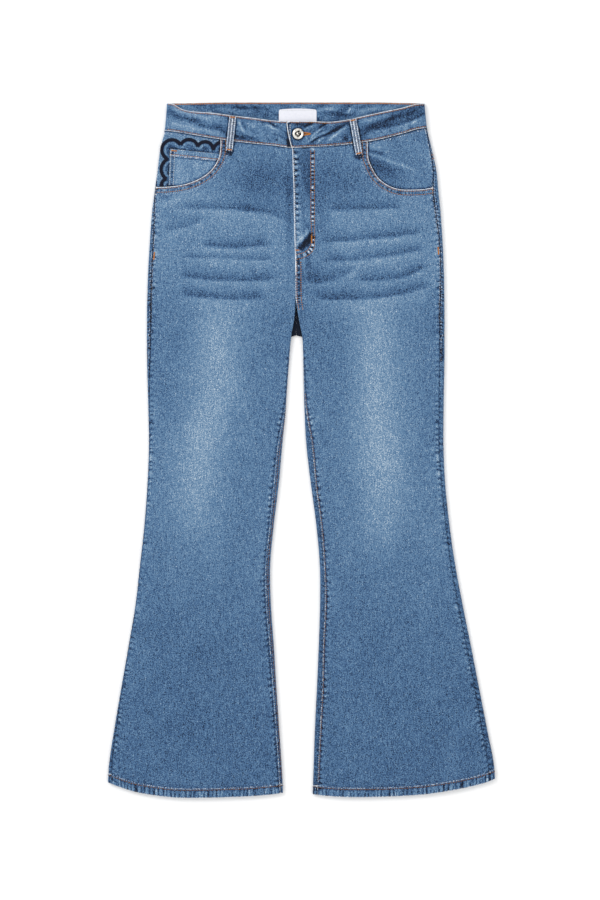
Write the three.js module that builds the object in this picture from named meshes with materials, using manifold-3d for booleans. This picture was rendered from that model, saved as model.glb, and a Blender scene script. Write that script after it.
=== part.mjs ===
// High-rise flared jeans in washed stretch denim, buttoned and laid on their back on a flat surface.
// Millimetres. +Z is up, +Y runs towards the waist, +X towards the wearer's left, and the origin lies on
// the surface under the middle of the outline. "down" is measured from the top of the back waist.
import * as THREE from "three";
import { mergeVertices } from "three/addons/utils/BufferGeometryUtils.js";
import Module from "manifold-3d";

const wasm = await Module();
wasm.setup();

// Overall sizes
const LENGTH = 1077; // top of the back waist to the lowest point of the hem
const TOP_Y = LENGTH / 2;
const SEAM_GAP = 0.3; // between two pieces that are sewn together
const HALF_GAP = SEAM_GAP / 2;
const BELOW = -5; // heights that pass through everything, for the cutting blocks
const ABOVE = 40;

// Thickness of the cloth and radius of its folds
const CLOTH = 1.4; // one layer of denim
const SEAT_WALL = 2.5; // seat and yoke, with their felled seams
const HEM_WALL = 2.2; // the hem, turned up twice
const BAND_WALL = 2.2; // the waistband at the front
const BACK_BAND_WALL = 2.6; // the waistband at the back
const BAND_PROUD = BAND_WALL - CLOTH; // how far the waistband stands over the panels
const TORSO_FOLD = 3.2; // side folds above the crotch
const BAND_FOLD = TORSO_FOLD + BAND_PROUD / 2;
const LEG_FOLD = 2.8;
const HEM_FOLD = 3.1;
const TORSO_CROWN = 1.0; // rise of the middle of the body over its side folds
const LEG_CROWN = 0.9;

// Places along the length
const FORK = 300; // the two front legs part below this
const CROTCH = 364; // lowest edge of the crotch
const HEM_DEPTH = 15.5;
const CENTRE_BACK = -8.2; // x of the seat seam

// Rows of points. Front and back share them, so that the pieces meet along the side seams.
const BODY_ROWS = [36, 58, 74, 88, 105, 122, 136, 152, 167, 190, 213, 236, 260, 280, 300, 322, 345, 361];
const LEG_ROWS = [CROTCH, 376, 407, 438, 469, 500, 531, 562, 593, 655, 717, 779, 841, 903, 965, 1020];
const HEM_ROWS = [LENGTH - HEM_DEPTH - 1, LENGTH - HEM_DEPTH, LENGTH];
const ROWS = [...BODY_ROWS, ...LEG_ROWS, ...HEM_ROWS];

// A table of measures with a smooth curve through its rows. Its first column is the key.
function measures(columns, rows) {
  const last = rows.length - 1;
  const slope = (j, k) => {
    const a = rows[Math.max(j - 1, 0)];
    const b = rows[Math.min(j + 1, last)];
    return (b[k] - a[k]) / (b[0] - a[0]);
  };
  return (column, at) => {
    const k = columns.indexOf(column);
    if (at <= rows[0][0]) return rows[0][k];
    if (at >= rows[last][0]) return rows[last][k];
    const i = rows.findIndex((row) => row[0] >= at) - 1;
    const h = rows[i + 1][0] - rows[i][0];
    const t = (at - rows[i][0]) / h;
    const u = 1 - t;
    const start = rows[i][k] * (1 + 2 * t) + h * t * slope(i, k);
    const end = rows[i + 1][k] * (1 + 2 * u) - h * u * slope(i + 1, k);
    return start * u * u + end * t * t;
  };
}

// The outline. outer and inner are the x of the two folds of each half, and outseam and inseam how far
// the seam shows inside each fold. Above the crotch, inner with inseam taken off is the edge of the front.
const OUTLINE_COLUMNS = ["down", "outer", "outseam", "inner", "inseam"];
const OUTLINE = {
  right: measures(OUTLINE_COLUMNS, [
    [0, -208.5, 0, -8.5, 12],
    [44, -212.4, 0, -7, 12],
    [74, -219.3, 0, -2.6, 12],
    [105, -223.2, 0, -1.4, 12],
    [136, -227.1, 0.8, -0.2, 12],
    [167, -231.3, 3.5, 0.1, 12],
    [213, -234.8, 5.5, 1.2, 12],
    [260, -237.6, 6, 2.4, 12],
    [300, -239.1, 6.2, 0.7, 10],
    [322, -239.5, 6.2, -3.6, 6.2],
    [345, -239.6, 6.2, -10.4, 2],
    [364, -239.6, 6, -15.5, 0],
    [407, -239.2, 4.5, -19.4, 0],
    [469, -237.5, 2, -24, 0.3],
    [531, -236.4, 0.8, -29.8, 5.5],
    [593, -238.8, 0.8, -35.3, 6.5],
    [655, -243.4, 0.8, -42.9, 5],
    [717, -250.3, 0.8, -48.4, 6],
    [779, -257.3, 0.8, -47.3, 6],
    [841, -267.7, 0.8, -42.9, 5.3],
    [903, -278.5, 1.5, -39, 4.5],
    [965, -289.1, 3, -34.9, 4],
    [1027, -298.4, 5, -30.7, 4],
    [1077, -300.7, 5, -27.9, 4],
  ]),
  left: measures(OUTLINE_COLUMNS, [
    [0, 190.5, 1, -32.5, 12],
    [44, 195.4, 1.5, -31, 12],
    [74, 202.3, 3, -26.6, 12],
    [105, 208.9, 5, -25.4, 12],
    [136, 212.2, 8.5, -24.2, 12],
    [167, 215.3, 8, -23.9, 12],
    [213, 218.5, 5, -22.8, 12],
    [260, 220.7, 5.2, -21.6, 12],
    [300, 221.4, 6.5, -19.2, 10],
    [322, 221.6, 7.5, -12.7, 6.2],
    [345, 221.7, 7.5, -4.5, 2],
    [364, 221.7, 7.5, 0.8, 0],
    [407, 221.5, 7.5, 2.6, 0],
    [469, 220.4, 7.3, 4.3, 1.5],
    [531, 220.1, 7, 7.4, 8.5],
    [593, 223, 6, 14.7, 7],
    [655, 229.4, 6, 22.9, 7],
    [717, 238.4, 7, 28.2, 6.5],
    [779, 249.9, 7, 28.7, 7.5],
    [841, 262.4, 7, 26.7, 6.7],
    [903, 274.4, 7, 24, 8],
    [965, 286.6, 8, 20.9, 8],
    [1027, 298.4, 9, 18.8, 7],
    [1077, 300.7, 9, 17, 7],
  ]),
};

// Upper edge and seam of the waistband across the front
const WAIST = measures(
  ["x", "top", "seam"],
  [
    [-216, 1.7, 43.5],
    [-200, 2.2, 45],
    [-186, 10.2, 47],
    [-171, 14, 49.7],
    [-139, 16.4, 55.2],
    [-104, 21, 60.3],
    [-72, 24.8, 64],
    [-42, 28.6, 67],
    [-17, 29.6, 70.3],
    [14, 29.5, 69.2],
    [45, 30.4, 67.4],
    [70, 27.3, 65.1],
    [101, 20.4, 61],
    [125, 15.1, 56.4],
    [156, 8.6, 48.5],
    [180, 2.4, 41.4],
    [200, 2.3, 38.8],
  ],
);

// Seams across the back
const SEAT = measures(
  ["x", "waist", "yoke"],
  [
    [-225, 43.5, 88],
    [-115, 43, 104],
    [CENTRE_BACK, 42.5, 123],
    [98, 41.3, 104],
    [212, 39.6, 88],
  ],
);

// Lower edge of the hem, by the share of the leg's width from its outer to its inner fold
const HEM_EDGE = measures(
  ["share", "right", "left"],
  [
    [0, 1053.5, 1048],
    [0.05, 1058.7, 1053.4],
    [0.16, 1068.1, 1061.3],
    [0.28, 1073.7, 1067.6],
    [0.4, 1077, 1072.2],
    [0.6, 1076.8, 1075.4],
    [0.8, 1074.9, 1076.2],
    [0.93, 1072.1, 1074],
    [1, 1069.6, 1071.8],
  ],
);
const HEM_BEND = 850; // rows below this bend towards the curve of the hem

// Front pocket mouths: the cut edge of the panel, from above the waist seam to beyond the side fold
const MOUTH = {
  right: [
    [-126, 20],
    [-125.6, 72],
    [-132.5, 95],
    [-149, 113],
    [-175.5, 125.6],
    [-205, 130.7],
    [-245, 131.5],
  ],
  left: [
    [102.5, 20],
    [102.7, 77],
    [106.6, 96],
    [121.4, 119.7],
    [148, 134],
    [184.6, 135],
    [202, 132.4],
    [245, 127],
  ],
};
const MOUTH_SIDE = { right: 130.5, left: 129.5 }; // its height at the side fold
const MOUTH_STEPS = 20;

// Pocket facing behind each mouth
const FACING_WALL = 1.2;
const FACING_DEPTH = CLOTH + SEAM_GAP; // its face lies this far under the face of the panel
const FACING_TUCK = 14; // how far it runs on under the panel
const FACING_SLOPE = 14; // width over which it sinks from the side seam
const FACING_ROWS = [36, 58, 74, 88, 105, 122, 129, 136, 148];

// Fly: the left front laps over the right
const FLY_LAP = 10;
const FLY_LIFT = FACING_DEPTH;
const FLY_FLAT = 12;
const FLY_RAMP = 24;
const FLY_END = 262; // the lap ends above this, and the lift below it

// Ends of the waistband, and the button
const BAND_LAP_FROM = -20.5; // end of the left waistband, on top
const BAND_UNDER_TO = 4; // end of the right waistband, beneath it
const BAND_LIFT = BAND_WALL + SEAM_GAP;
const BAND_FLAT_TO = 9;
const BAND_RAMP = 26;
const BUTTON_X = -5.3;
const BUTTON_DOWN = 49.1;
const BUTTON_RADIUS = 8.6;
const SHANK_RADIUS = 2.4;
const EYELET_RADIUS = 3.2;
const SLIT_LENGTH = 15;
const SLIT_WIDTH = 1.4;

// Belt loops: those on the front by the middle of their ends, those on the back by x
const LOOP_WIDTH = 11.2;
const LOOP_WALL = 1.6;
const FRONT_LOOPS = {
  right: { top: { x: -106.3, down: 21.2 }, foot: { x: -112.1, down: 75.5 } },
  left: { top: { x: 79.6, down: 25.9 }, foot: { x: 89.3, down: 81.2 } },
};
const BACK_LOOPS = { right: -118, centre: CENTRE_BACK, left: 101 };
const BACK_LOOP_TOP = 2.5;
const BACK_LOOP_LENGTH = 52;

// Back patch pockets
const PATCH = { width: 148, foot: 132, side: 132, point: 152 };
const PATCH_INSET = 28; // from the seat seam
const PATCH_DOWN = 145;
const UNDER_PIECE = 1.0; // loops and patches are let into the underside, which stays flat

// Coin pocket on the right facing, and the scalloped embroidery round it
const COIN = { left: -203.5, leftFoot: -206.5, top: 72, right: -112, rightTop: 81.5, foot: 146 };
const SCALLOP_WIDTH = 6;
const SCALLOP_WALL = 1.0;
const SCALLOP_STEPS = 7;
// From cusp to cusp. bulge is the height of the arc from the cusp before, as a share of its chord.
const SCALLOPS = [
  { x: -215, down: 134, bulge: 0 },
  { x: -209.1, down: 118.8, bulge: 0.3 },
  { x: -207.4, down: 87.9, bulge: 0.3 },
  { x: -187.2, down: 65.7, bulge: 0.68 },
  { x: -160.7, down: 68.5, bulge: 0.36 },
  { x: -136.7, down: 74.1, bulge: 0.42 },
  { x: -120, down: 61, bulge: 0.2 },
];

const LABEL = { left: -35, right: 23.3, top: 9.5, foot: 42, wall: 1.0, bow: 1.6 };

function smooth(from, to, value) {
  const t = Math.min(1, Math.max(0, (value - from) / (to - from)));
  return t * t * (3 - 2 * t);
}

function mix(a, b, t) {
  return a + (b - a) * t;
}

function evenly(from, to, steps) {
  return Array.from({ length: steps + 1 }, (_, i) => mix(from, to, i / steps));
}

// Places along a row: at set distances from its ends, with even steps between
function spread(from, to, fromEnd, toEnd, steps) {
  const near = fromEnd.map((d) => from + d);
  const far = toEnd.map((d) => to - d).reverse();
  return [...near, ...evenly(near[near.length - 1], far[0], steps).slice(1, -1), ...far];
}

const NEAR_FOLD = [0, 2.2, 4.6, 9, 20];
const NEAR_FLY = [0, 6, FLY_FLAT + 1, 24, 37];
const NEAR_UNDER = [0, 2.4, 5, 8, 12, 20];
const PANEL_STEPS = 5;

// Rise of the upper layer over its folds
function crown(side, x, down) {
  const dome = (from, to) => {
    const t = Math.min(1, Math.max(-1, (2 * (x - from)) / (to - from) - 1));
    return 1 - t * t * t * t;
  };
  const body = dome(OUTLINE.right("outer", down), OUTLINE.left("outer", down));
  const leg = dome(OUTLINE[side]("outer", down), OUTLINE[side]("inner", down));
  return mix(TORSO_CROWN * body, LEG_CROWN * leg, smooth(FORK, CROTCH + 60, down));
}

function foldRadius(down) {
  return mix(TORSO_FOLD, LEG_FOLD, smooth(CROTCH - 20, CROTCH + 60, down));
}

// The flattened tube of cloth at one height, between its outer and its inner fold. beyond moves the inner
// fold out of the way of pieces that run on flat past it.
class Section {
  constructor(side, down, radius, beyond = 0) {
    this.outer = OUTLINE[side]("outer", down);
    this.into = side === "right" ? 1 : -1;
    this.width = Math.abs(OUTLINE[side]("inner", down) - this.outer);
    this.flatWidth = this.width + beyond;
    this.radius = radius;
    this.quarter = (Math.PI * radius) / 2;
    this.length = this.flatWidth + 2 * (this.quarter - radius);
  }

  // Distance along the contour, from a fold, of a point at an inset from that fold as seen from above
  along(inset) {
    if (inset >= this.radius) return this.quarter + inset - this.radius;
    return this.radius * Math.acos(1 - Math.max(0, inset) / this.radius);
  }

  alongTo(x) {
    return this.along(Math.abs(x - this.outer));
  }

  share(x) {
    return Math.abs(x - this.outer) / this.width;
  }

  // A point of the contour and its outward normal. c runs from the outer fold to the inner one, over the
  // top or underneath, and carries on round either fold to the other layer.
  contour(c, under) {
    let layer = under ? -1 : 1;
    let along = c;
    if (c < 0) along = -c;
    if (c > this.length) along = 2 * this.length - c;
    if (along !== c) layer = -layer;
    const r = this.radius;
    let [x, nx, nz] = [r + along - this.quarter, 0, 1];
    if (along < this.quarter) {
      const angle = along / r;
      [x, nx, nz] = [r - r * Math.cos(angle), -Math.cos(angle), Math.sin(angle)];
    } else if (along > this.length - this.quarter) {
      const angle = (this.length - along) / r;
      [x, nx, nz] = [this.flatWidth - r + r * Math.cos(angle), Math.cos(angle), Math.sin(angle)];
    }
    return { x: this.outer + this.into * x, z: r + layer * r * nz, nx: this.into * nx, nz: layer * nz };
  }
}

// A closed wall between two grids of points of the same size
function wallBetween(outer, inner) {
  const rows = outer.length;
  const cols = outer[0].length;
  const index = [];
  const at = (layer, i, j) => (layer * rows + i) * cols + j;
  const quad = (a, b, c, d) => index.push(a, b, c, a, c, d);
  for (let i = 0; i < rows - 1; i += 1) {
    for (let j = 0; j < cols - 1; j += 1) {
      quad(at(0, i, j), at(0, i + 1, j), at(0, i + 1, j + 1), at(0, i, j + 1));
      quad(at(1, i, j), at(1, i, j + 1), at(1, i + 1, j + 1), at(1, i + 1, j));
    }
  }
  const rim = [];
  for (let j = 0; j < cols - 1; j += 1) rim.push([0, j]);
  for (let i = 0; i < rows - 1; i += 1) rim.push([i, cols - 1]);
  for (let j = cols - 1; j > 0; j -= 1) rim.push([rows - 1, j]);
  for (let i = rows - 1; i > 0; i -= 1) rim.push([i, 0]);
  rim.forEach(([i, j], k) => {
    const [m, n] = rim[(k + 1) % rim.length];
    quad(at(0, i, j), at(0, m, n), at(1, m, n), at(1, i, j));
  });
  const geometry = new THREE.BufferGeometry();
  const points = [outer, inner].flat(2).flatMap((p) => [p.x, p.y, p.z]);
  geometry.setAttribute("position", new THREE.Float32BufferAttribute(points, 3));
  geometry.setIndex(index);
  return facingOut(geometry);
}

function facingOut(geometry) {
  const { index } = geometry;
  const corner = (i) => new THREE.Vector3().fromBufferAttribute(geometry.getAttribute("position"), index.getX(i));
  let volume = 0;
  const turned = [];
  for (let i = 0; i < index.count; i += 3) {
    volume += corner(i).dot(corner(i + 1).cross(corner(i + 2)));
    turned.push(index.getX(i), index.getX(i + 2), index.getX(i + 1));
  }
  if (volume < 0) geometry.setIndex(turned);
  return geometry;
}

function toSolid(geometry) {
  const bare = geometry.clone();
  bare.deleteAttribute("normal");
  bare.deleteAttribute("uv");
  const merged = mergeVertices(bare, 1e-3);
  return new wasm.Manifold(
    new wasm.Mesh({
      numProp: 3,
      vertProperties: merged.getAttribute("position").array,
      triVerts: new Uint32Array(merged.index.array),
    }),
  );
}

function fromSolid(solid) {
  const mesh = solid.getMesh();
  const geometry = new THREE.BufferGeometry();
  geometry.setAttribute("position", new THREE.BufferAttribute(mesh.vertProperties, 3));
  geometry.setIndex(new THREE.BufferAttribute(mesh.triVerts, 1));
  return geometry;
}

const cut = (geometry, tool) => fromSolid(toSolid(geometry).subtract(toSolid(tool)));
const keep = (geometry, tool) => fromSolid(toSolid(geometry).intersect(toSolid(tool)));

// A straight-sided block over an outline of [x, down] points
function block(outline, low = BELOW, high = ABOVE) {
  const shape = new THREE.Shape(outline.map(([x, down]) => new THREE.Vector2(x, TOP_Y - down)));
  const geometry = new THREE.ExtrudeGeometry(shape, { depth: high - low, bevelEnabled: false });
  return geometry.translate(0, 0, low);
}

// The region above or below a seam that runs across the garment
const SEAM_STEPS = 32;
function aboveSeam(edge, gap) {
  const line = evenly(-240, 240, SEAM_STEPS).map((x) => [x, edge(x) + gap]);
  return block([...line, [240, -20], [-240, -20]]);
}

function belowSeam(edge, gap) {
  const line = evenly(-240, 240, SEAM_STEPS).map((x) => [x, edge(x) - gap]);
  return block([...line, [240, LENGTH], [-240, LENGTH]]);
}

const frontWaist = (x) => WAIST("seam", x);
const frontTop = (x) => WAIST("top", x);
const backWaist = (x) => SEAT("waist", x);
const yokeSeam = (x) => SEAT("yoke", x);

// Grids of points for a panel. columns gives the places along a section, lift raises both faces, and wall
// is the thickness at a height and a normal.
function panel({ side, rows, columns, under = false, beyond = () => 0, wall = () => CLOTH, lift = () => 0 }) {
  const faces = rows.map((station) => {
    const hem = station > LENGTH - HEM_DEPTH - 0.5;
    const bend = smooth(HEM_BEND, LENGTH - HEM_DEPTH, station);
    const sectionAt = (down) => new Section(side, down, hem ? HEM_FOLD : foldRadius(down), beyond(station));
    return columns(sectionAt(station), station).map((_, j) => {
      let down = station;
      let point = null;
      for (let pass = 0; pass < 4; pass += 1) {
        const section = sectionAt(down);
        point = section.contour(columns(section, down)[j], under);
        down = station + bend * (HEM_EDGE(side, section.share(point.x)) - LENGTH);
      }
      const rise = Math.max(0, point.nz) * (crown(side, point.x, down) + lift(point.x, down));
      const thick = hem ? HEM_WALL : wall(down, point.nz);
      const outer = new THREE.Vector3(point.x, TOP_Y - down, point.z + rise);
      const inner = new THREE.Vector3(outer.x - point.nx * thick, outer.y, outer.z - point.nz * thick);
      return { outer, inner };
    });
  });
  const grid = (face) => faces.map((row) => row.map((p) => p[face]));
  return wallBetween(grid("outer"), grid("inner"));
}

// Height of the left front over the right one at the fly
function flyLift(x, down) {
  const edge = OUTLINE.left("inner", down) + OUTLINE.left("inseam", down);
  const taper = 1 - smooth(FLY_END + 4, FORK, down);
  return FLY_LIFT * taper * (1 - smooth(FLY_FLAT, FLY_FLAT + FLY_RAMP, x - edge));
}

function frontPanel(side) {
  const right = side === "right";
  const columns = (section, down) => {
    const lap = right ? FLY_LAP * (1 - smooth(FLY_END - 22, FLY_END - 2, down)) : 0;
    const inset = Math.max(0, OUTLINE[side]("inseam", down) - lap);
    const from = section.along(OUTLINE[side]("outseam", down)) + HALF_GAP;
    const to = section.length - section.along(inset) - HALF_GAP;
    const onLeg = smooth(FORK - 20, FORK + 20, down);
    const ends = right ? NEAR_FOLD : NEAR_FLY.map((d, i) => mix(d, NEAR_FOLD[i], onLeg));
    return spread(from, to, NEAR_FOLD, ends, PANEL_STEPS);
  };
  const whole = panel({ side, rows: ROWS, columns, lift: right ? undefined : flyLift });
  return cut(cut(whole, aboveSeam(frontWaist, HALF_GAP)), mouthBlock(side, 0));
}

// The region inside a pocket mouth, shrunk by an inset, through the whole thickness
function mouthBlock(side, inset) {
  const curve = new THREE.SplineCurve(MOUTH[side].map(([x, down]) => new THREE.Vector2(x, down)));
  const out = side === "right" ? -1 : 1;
  const points = curve.getPoints(MOUTH_STEPS);
  const edge = points.map((p, i) => {
    const before = points[Math.max(i - 1, 0)];
    const after = points[Math.min(i + 1, points.length - 1)];
    const tangent = after.clone().sub(before).normalize();
    return [p.x + out * inset * tangent.y, p.y - out * inset * tangent.x];
  });
  return block([...edge, [MOUTH[side][MOUTH[side].length - 1][0], MOUTH[side][0][1]]]);
}

// A sheet over the pocket facing's form, between two heights over the face of the facing
function facingSheet(side, low, high) {
  const columns = (section, down) => {
    const from = section.along(OUTLINE[side]("outseam", down)) + HALF_GAP;
    const to = section.alongTo(MOUTH[side][1][0] + section.into * FACING_TUCK);
    return spread(from, to, NEAR_FOLD, [0], 4);
  };
  const surface = (height) =>
    FACING_ROWS.map((down) => {
      const section = new Section(side, down, TORSO_FOLD);
      const places = columns(section, down);
      return places.map((c) => {
        const p = section.contour(c, false);
        const toSide = smooth(0, FACING_SLOPE, c - places[0]);
        const toFoot = smooth(MOUTH_SIDE[side] - 12, MOUTH_SIDE[side] - 2, down);
        const off = height - FACING_DEPTH * Math.max(toSide, toFoot);
        const z = p.z + Math.max(0, p.nz) * crown(side, p.x, down);
        return new THREE.Vector3(p.x + p.nx * off, TOP_Y - down, z + p.nz * off);
      });
    });
  return cut(wallBetween(surface(high), surface(low)), aboveSeam(frontWaist, HALF_GAP));
}

function pocketFacing(side) {
  return facingSheet(side, -FACING_WALL, 0);
}

// A piece sewn onto the right facing, inside the pocket mouth
function onFacing(outlines, thickness) {
  const sheet = keep(facingSheet("right", SEAM_GAP, SEAM_GAP + thickness), mouthBlock("right", 0.4));
  const cover = outlines.map((outline) => toSolid(block(outline))).reduce((sum, next) => sum.add(next));
  return fromSolid(toSolid(sheet).intersect(cover));
}

function coinOutline(gap) {
  const { left, leftFoot, top, right, rightTop, foot } = COIN;
  return [
    [left - gap, top - gap],
    [right, rightTop - gap],
    [right, foot],
    [leftFoot - gap, foot],
  ];
}

// An arc between two cusps, bulging away from the coin pocket
function scallopArc(a, b) {
  const chord = Math.hypot(b.x - a.x, b.down - a.down);
  const sag = chord * b.bulge;
  const radius = (chord * chord) / (8 * sag) + sag / 2;
  const quarter = Math.asin(chord / 2 / radius);
  const half = sag > radius ? Math.PI - quarter : quarter;
  const across = { x: (b.x - a.x) / chord, down: (b.down - a.down) / chord };
  return evenly(-half, half, SCALLOP_STEPS).map((angle) => {
    const s = radius * Math.sin(angle);
    const h = radius * Math.cos(angle) - (radius - sag);
    return [
      (a.x + b.x) / 2 + across.x * s + across.down * h,
      (a.down + b.down) / 2 + across.down * s - across.x * h,
    ];
  });
}

// The outline of a band along a line of points
function bandAlong(line, width) {
  const edge = (sign) =>
    line.map(([x, down], k) => {
      const [ax, ad] = line[Math.max(k - 1, 0)];
      const [bx, bd] = line[Math.min(k + 1, line.length - 1)];
      const reach = (sign * width) / 2 / Math.hypot(bx - ax, bd - ad);
      return [x + (bd - ad) * reach, down - (bx - ax) * reach];
    });
  return [...edge(1), ...edge(-1).reverse()];
}

function scallopBorder() {
  const arcs = SCALLOPS.slice(1).map((cusp, i) => scallopArc(SCALLOPS[i], cusp));
  const border = onFacing(arcs.map((arc) => bandAlong(arc, SCALLOP_WIDTH)), SCALLOP_WALL);
  return cut(border, block(coinOutline(SEAM_GAP)));
}

// Columns of a back piece: from the outseam round the outer fold and underneath, to the seat seam on the
// body and round the inner fold to the inseam on the leg
function backColumns(side) {
  return (section, down) => {
    const from = -section.along(OUTLINE[side]("outseam", down)) + HALF_GAP;
    const seat = section.alongTo(CENTRE_BACK) - HALF_GAP;
    const inseam = section.length + section.along(OUTLINE[side]("inseam", down)) - HALF_GAP;
    const flat = section.length - section.quarter;
    if (down < CROTCH - 1) return spread(from, seat, NEAR_UNDER, NEAR_UNDER, PANEL_STEPS);
    return spread(from, down < CROTCH + 1 ? flat : inseam, NEAR_UNDER, NEAR_UNDER, PANEL_STEPS);
  };
}

const seatBeyond = (station) => (station < CROTCH - 1 ? 60 : 0);

function backWall(down, nz) {
  const under = mix(SEAT_WALL, CLOTH, smooth(CROTCH + 10, CROTCH + 70, down));
  return mix(CLOTH, under, Math.max(0, -nz));
}

function backPiece(side, rows) {
  return panel({ side, rows, columns: backColumns(side), under: true, beyond: seatBeyond, wall: backWall });
}

function patchOutline(side, margin) {
  const out = side === "right" ? -1 : 1;
  const middle = CENTRE_BACK + out * (PATCH_INSET + PATCH.width / 2);
  const half = PATCH.width / 2 + margin;
  const foot = PATCH.foot / 2 + margin;
  return [
    [middle - half, PATCH_DOWN - margin],
    [middle + half, PATCH_DOWN - margin],
    [middle + foot, PATCH_DOWN + PATCH.side + margin * 0.7],
    [middle, PATCH_DOWN + PATCH.point + margin],
    [middle - foot, PATCH_DOWN + PATCH.side + margin * 0.7],
  ];
}

const recess = (outline) => block(outline, BELOW, UNDER_PIECE + SEAM_GAP);
const onUnderside = (outline) => block(outline, 0, UNDER_PIECE);

function backPanel(side) {
  const whole = backPiece(side, ROWS.filter((row) => row >= 74));
  return cut(cut(whole, aboveSeam(yokeSeam, HALF_GAP)), recess(patchOutline(side, SEAM_GAP)));
}

function yoke(side) {
  const whole = backPiece(side, ROWS.filter((row) => row <= 136));
  const trimmed = cut(cut(whole, aboveSeam(backWaist, HALF_GAP)), belowSeam(yokeSeam, HALF_GAP));
  return loopRecesses().reduce(cut, trimmed);
}

function backLoopOutline(x, margin) {
  const half = LOOP_WIDTH / 2 + margin;
  return [
    [x - half, BACK_LOOP_TOP - margin],
    [x + half, BACK_LOOP_TOP - margin],
    [x + half, BACK_LOOP_TOP + BACK_LOOP_LENGTH + margin],
    [x - half, BACK_LOOP_TOP + BACK_LOOP_LENGTH + margin],
  ];
}

function loopRecesses() {
  return Object.values(BACK_LOOPS).map((x) => recess(backLoopOutline(x, SEAM_GAP)));
}

const BAND_ROWS = [-6, 12, 24, 36, 50, 64, 80];
const BAND_BEYOND = 60;
const NEAR_BAND_FOLD = [0, 2.4, 5.6, 10];

// A length of the waistband, from the side fold to an x. lift raises both faces.
function bandPiece(side, toX, { under = false, wall = BAND_WALL, lift = () => 0, steps }) {
  const surface = (depth) =>
    BAND_ROWS.map((down) => {
      const section = new Section(side, down, BAND_FOLD, BAND_BEYOND);
      return spread(HALF_GAP, section.alongTo(toX), NEAR_BAND_FOLD, [0], steps).map((c) => {
        const p = section.contour(c, under);
        const z = p.z + Math.max(0, p.nz) * (crown(side, p.x, down) + lift(p.x));
        return new THREE.Vector3(p.x - p.nx * depth, TOP_Y - down, z - p.nz * depth);
      });
    });
  return wallBetween(surface(0), surface(wall));
}

// Lift of the left end of the waistband over the right end
function bandLift(x) {
  return BAND_LIFT * (1 - smooth(BAND_FLAT_TO, BAND_FLAT_TO + BAND_RAMP, x));
}

function frontBand(side) {
  const left = side === "left";
  const whole = left
    ? bandPiece(side, BAND_LAP_FROM, { lift: bandLift, steps: 16 })
    : bandPiece(side, BAND_UNDER_TO, { steps: 8 });
  const band = cut(cut(whole, aboveSeam(frontTop, 0)), belowSeam(frontWaist, HALF_GAP));
  return left ? buttonhole().reduce(cut, band) : band;
}

function buttonhole() {
  const eyelet = new THREE.CylinderGeometry(EYELET_RADIUS, EYELET_RADIUS, ABOVE, 16);
  eyelet.rotateX(Math.PI / 2).translate(BUTTON_X, TOP_Y - BUTTON_DOWN, 0);
  const slit = new THREE.BoxGeometry(SLIT_LENGTH, SLIT_WIDTH, ABOVE);
  slit.translate(BUTTON_X + SLIT_LENGTH / 2, TOP_Y - BUTTON_DOWN, 0);
  return [eyelet, slit];
}

// The back of the waistband, in one length. Its ends turn up to the side folds.
function backBand() {
  const options = { under: true, wall: BACK_BAND_WALL, steps: 4 };
  const right = bandPiece("right", CENTRE_BACK + 1, options);
  const left = bandPiece("left", CENTRE_BACK - 1, options);
  const whole = fromSolid(toSolid(right).add(toSolid(left)));
  const upper = (x) => 1.5 * smooth(110, 205, Math.abs(x));
  const band = cut(cut(whole, aboveSeam(upper, 0)), belowSeam(backWaist, HALF_GAP));
  return loopRecesses().reduce(cut, band);
}

// Height of the front's face: the waistband, then a soft step down to the panel
function frontFace(side, x, down) {
  const seam = WAIST("seam", x);
  const proud = BAND_PROUD * (1 - smooth(seam + 1, seam + 7, down));
  return 2 * TORSO_FOLD + crown(side, x, down) + proud;
}

function frontLoop(side) {
  const { top, foot } = FRONT_LOOPS[side];
  const length = Math.hypot(foot.x - top.x, foot.down - top.down);
  const across = { x: (foot.down - top.down) / length, down: (top.x - foot.x) / length };
  const surface = (height) =>
    evenly(0, 1, 8).map((t) =>
      [-0.5, -0.22, 0.22, 0.5].map((share) => {
        const x = mix(top.x, foot.x, t) + across.x * share * LOOP_WIDTH;
        const down = mix(top.down, foot.down, t) + across.down * share * LOOP_WIDTH;
        return new THREE.Vector3(x, TOP_Y - down, frontFace(side, x, down) + height);
      }),
    );
  return wallBetween(surface(SEAM_GAP + LOOP_WALL), surface(SEAM_GAP));
}

// Tack button: a shank that stands on the under end of the waistband, and a cap with a hollow middle
function button() {
  const foot = 2 * BAND_FOLD + TORSO_CROWN + SEAM_GAP;
  const under = foot + BAND_LIFT;
  const rim = BUTTON_RADIUS;
  const profile = [
    [0, foot],
    [SHANK_RADIUS, foot],
    [SHANK_RADIUS, under],
    [rim - 0.8, under],
    [rim, under + 0.8],
    [rim - 0.3, under + 1.7],
    [rim - 1.6, under + 2.4],
    [rim - 3.2, under + 2.5],
    [rim - 4.6, under + 2],
    [rim - 5.4, under + 1.2],
    [0, under + 1],
  ];
  const geometry = new THREE.LatheGeometry(profile.map(([r, z]) => new THREE.Vector2(r, z)), 24);
  return geometry.rotateX(Math.PI / 2).translate(BUTTON_X, TOP_Y - BUTTON_DOWN, 0);
}

// Woven label, sewn by its upper edge inside the back of the waistband
function label() {
  const { left, right, top, foot, bow, wall } = LABEL;
  const low = BACK_BAND_WALL + SEAM_GAP;
  const outline = [
    [left, top + bow],
    [(left + right) / 2, top],
    [right, top + bow],
    [right, foot],
    [left, foot],
  ];
  return block(outline, low, low + wall);
}

const DENIM = { color: "#5f86b4", roughness: 0.9, metalness: 0 };
const DENIM_DARK = { color: "#456a99", roughness: 0.9, metalness: 0 };
const EMBROIDERY = { color: "#1c2338", roughness: 0.6, metalness: 0 };
const LABEL_CLOTH = { color: "#e9e8ee", roughness: 0.8, metalness: 0 };
const NICKEL = { color: "#c9c6c0", roughness: 0.25, metalness: 1 };

const jeans = new THREE.Group();

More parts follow.
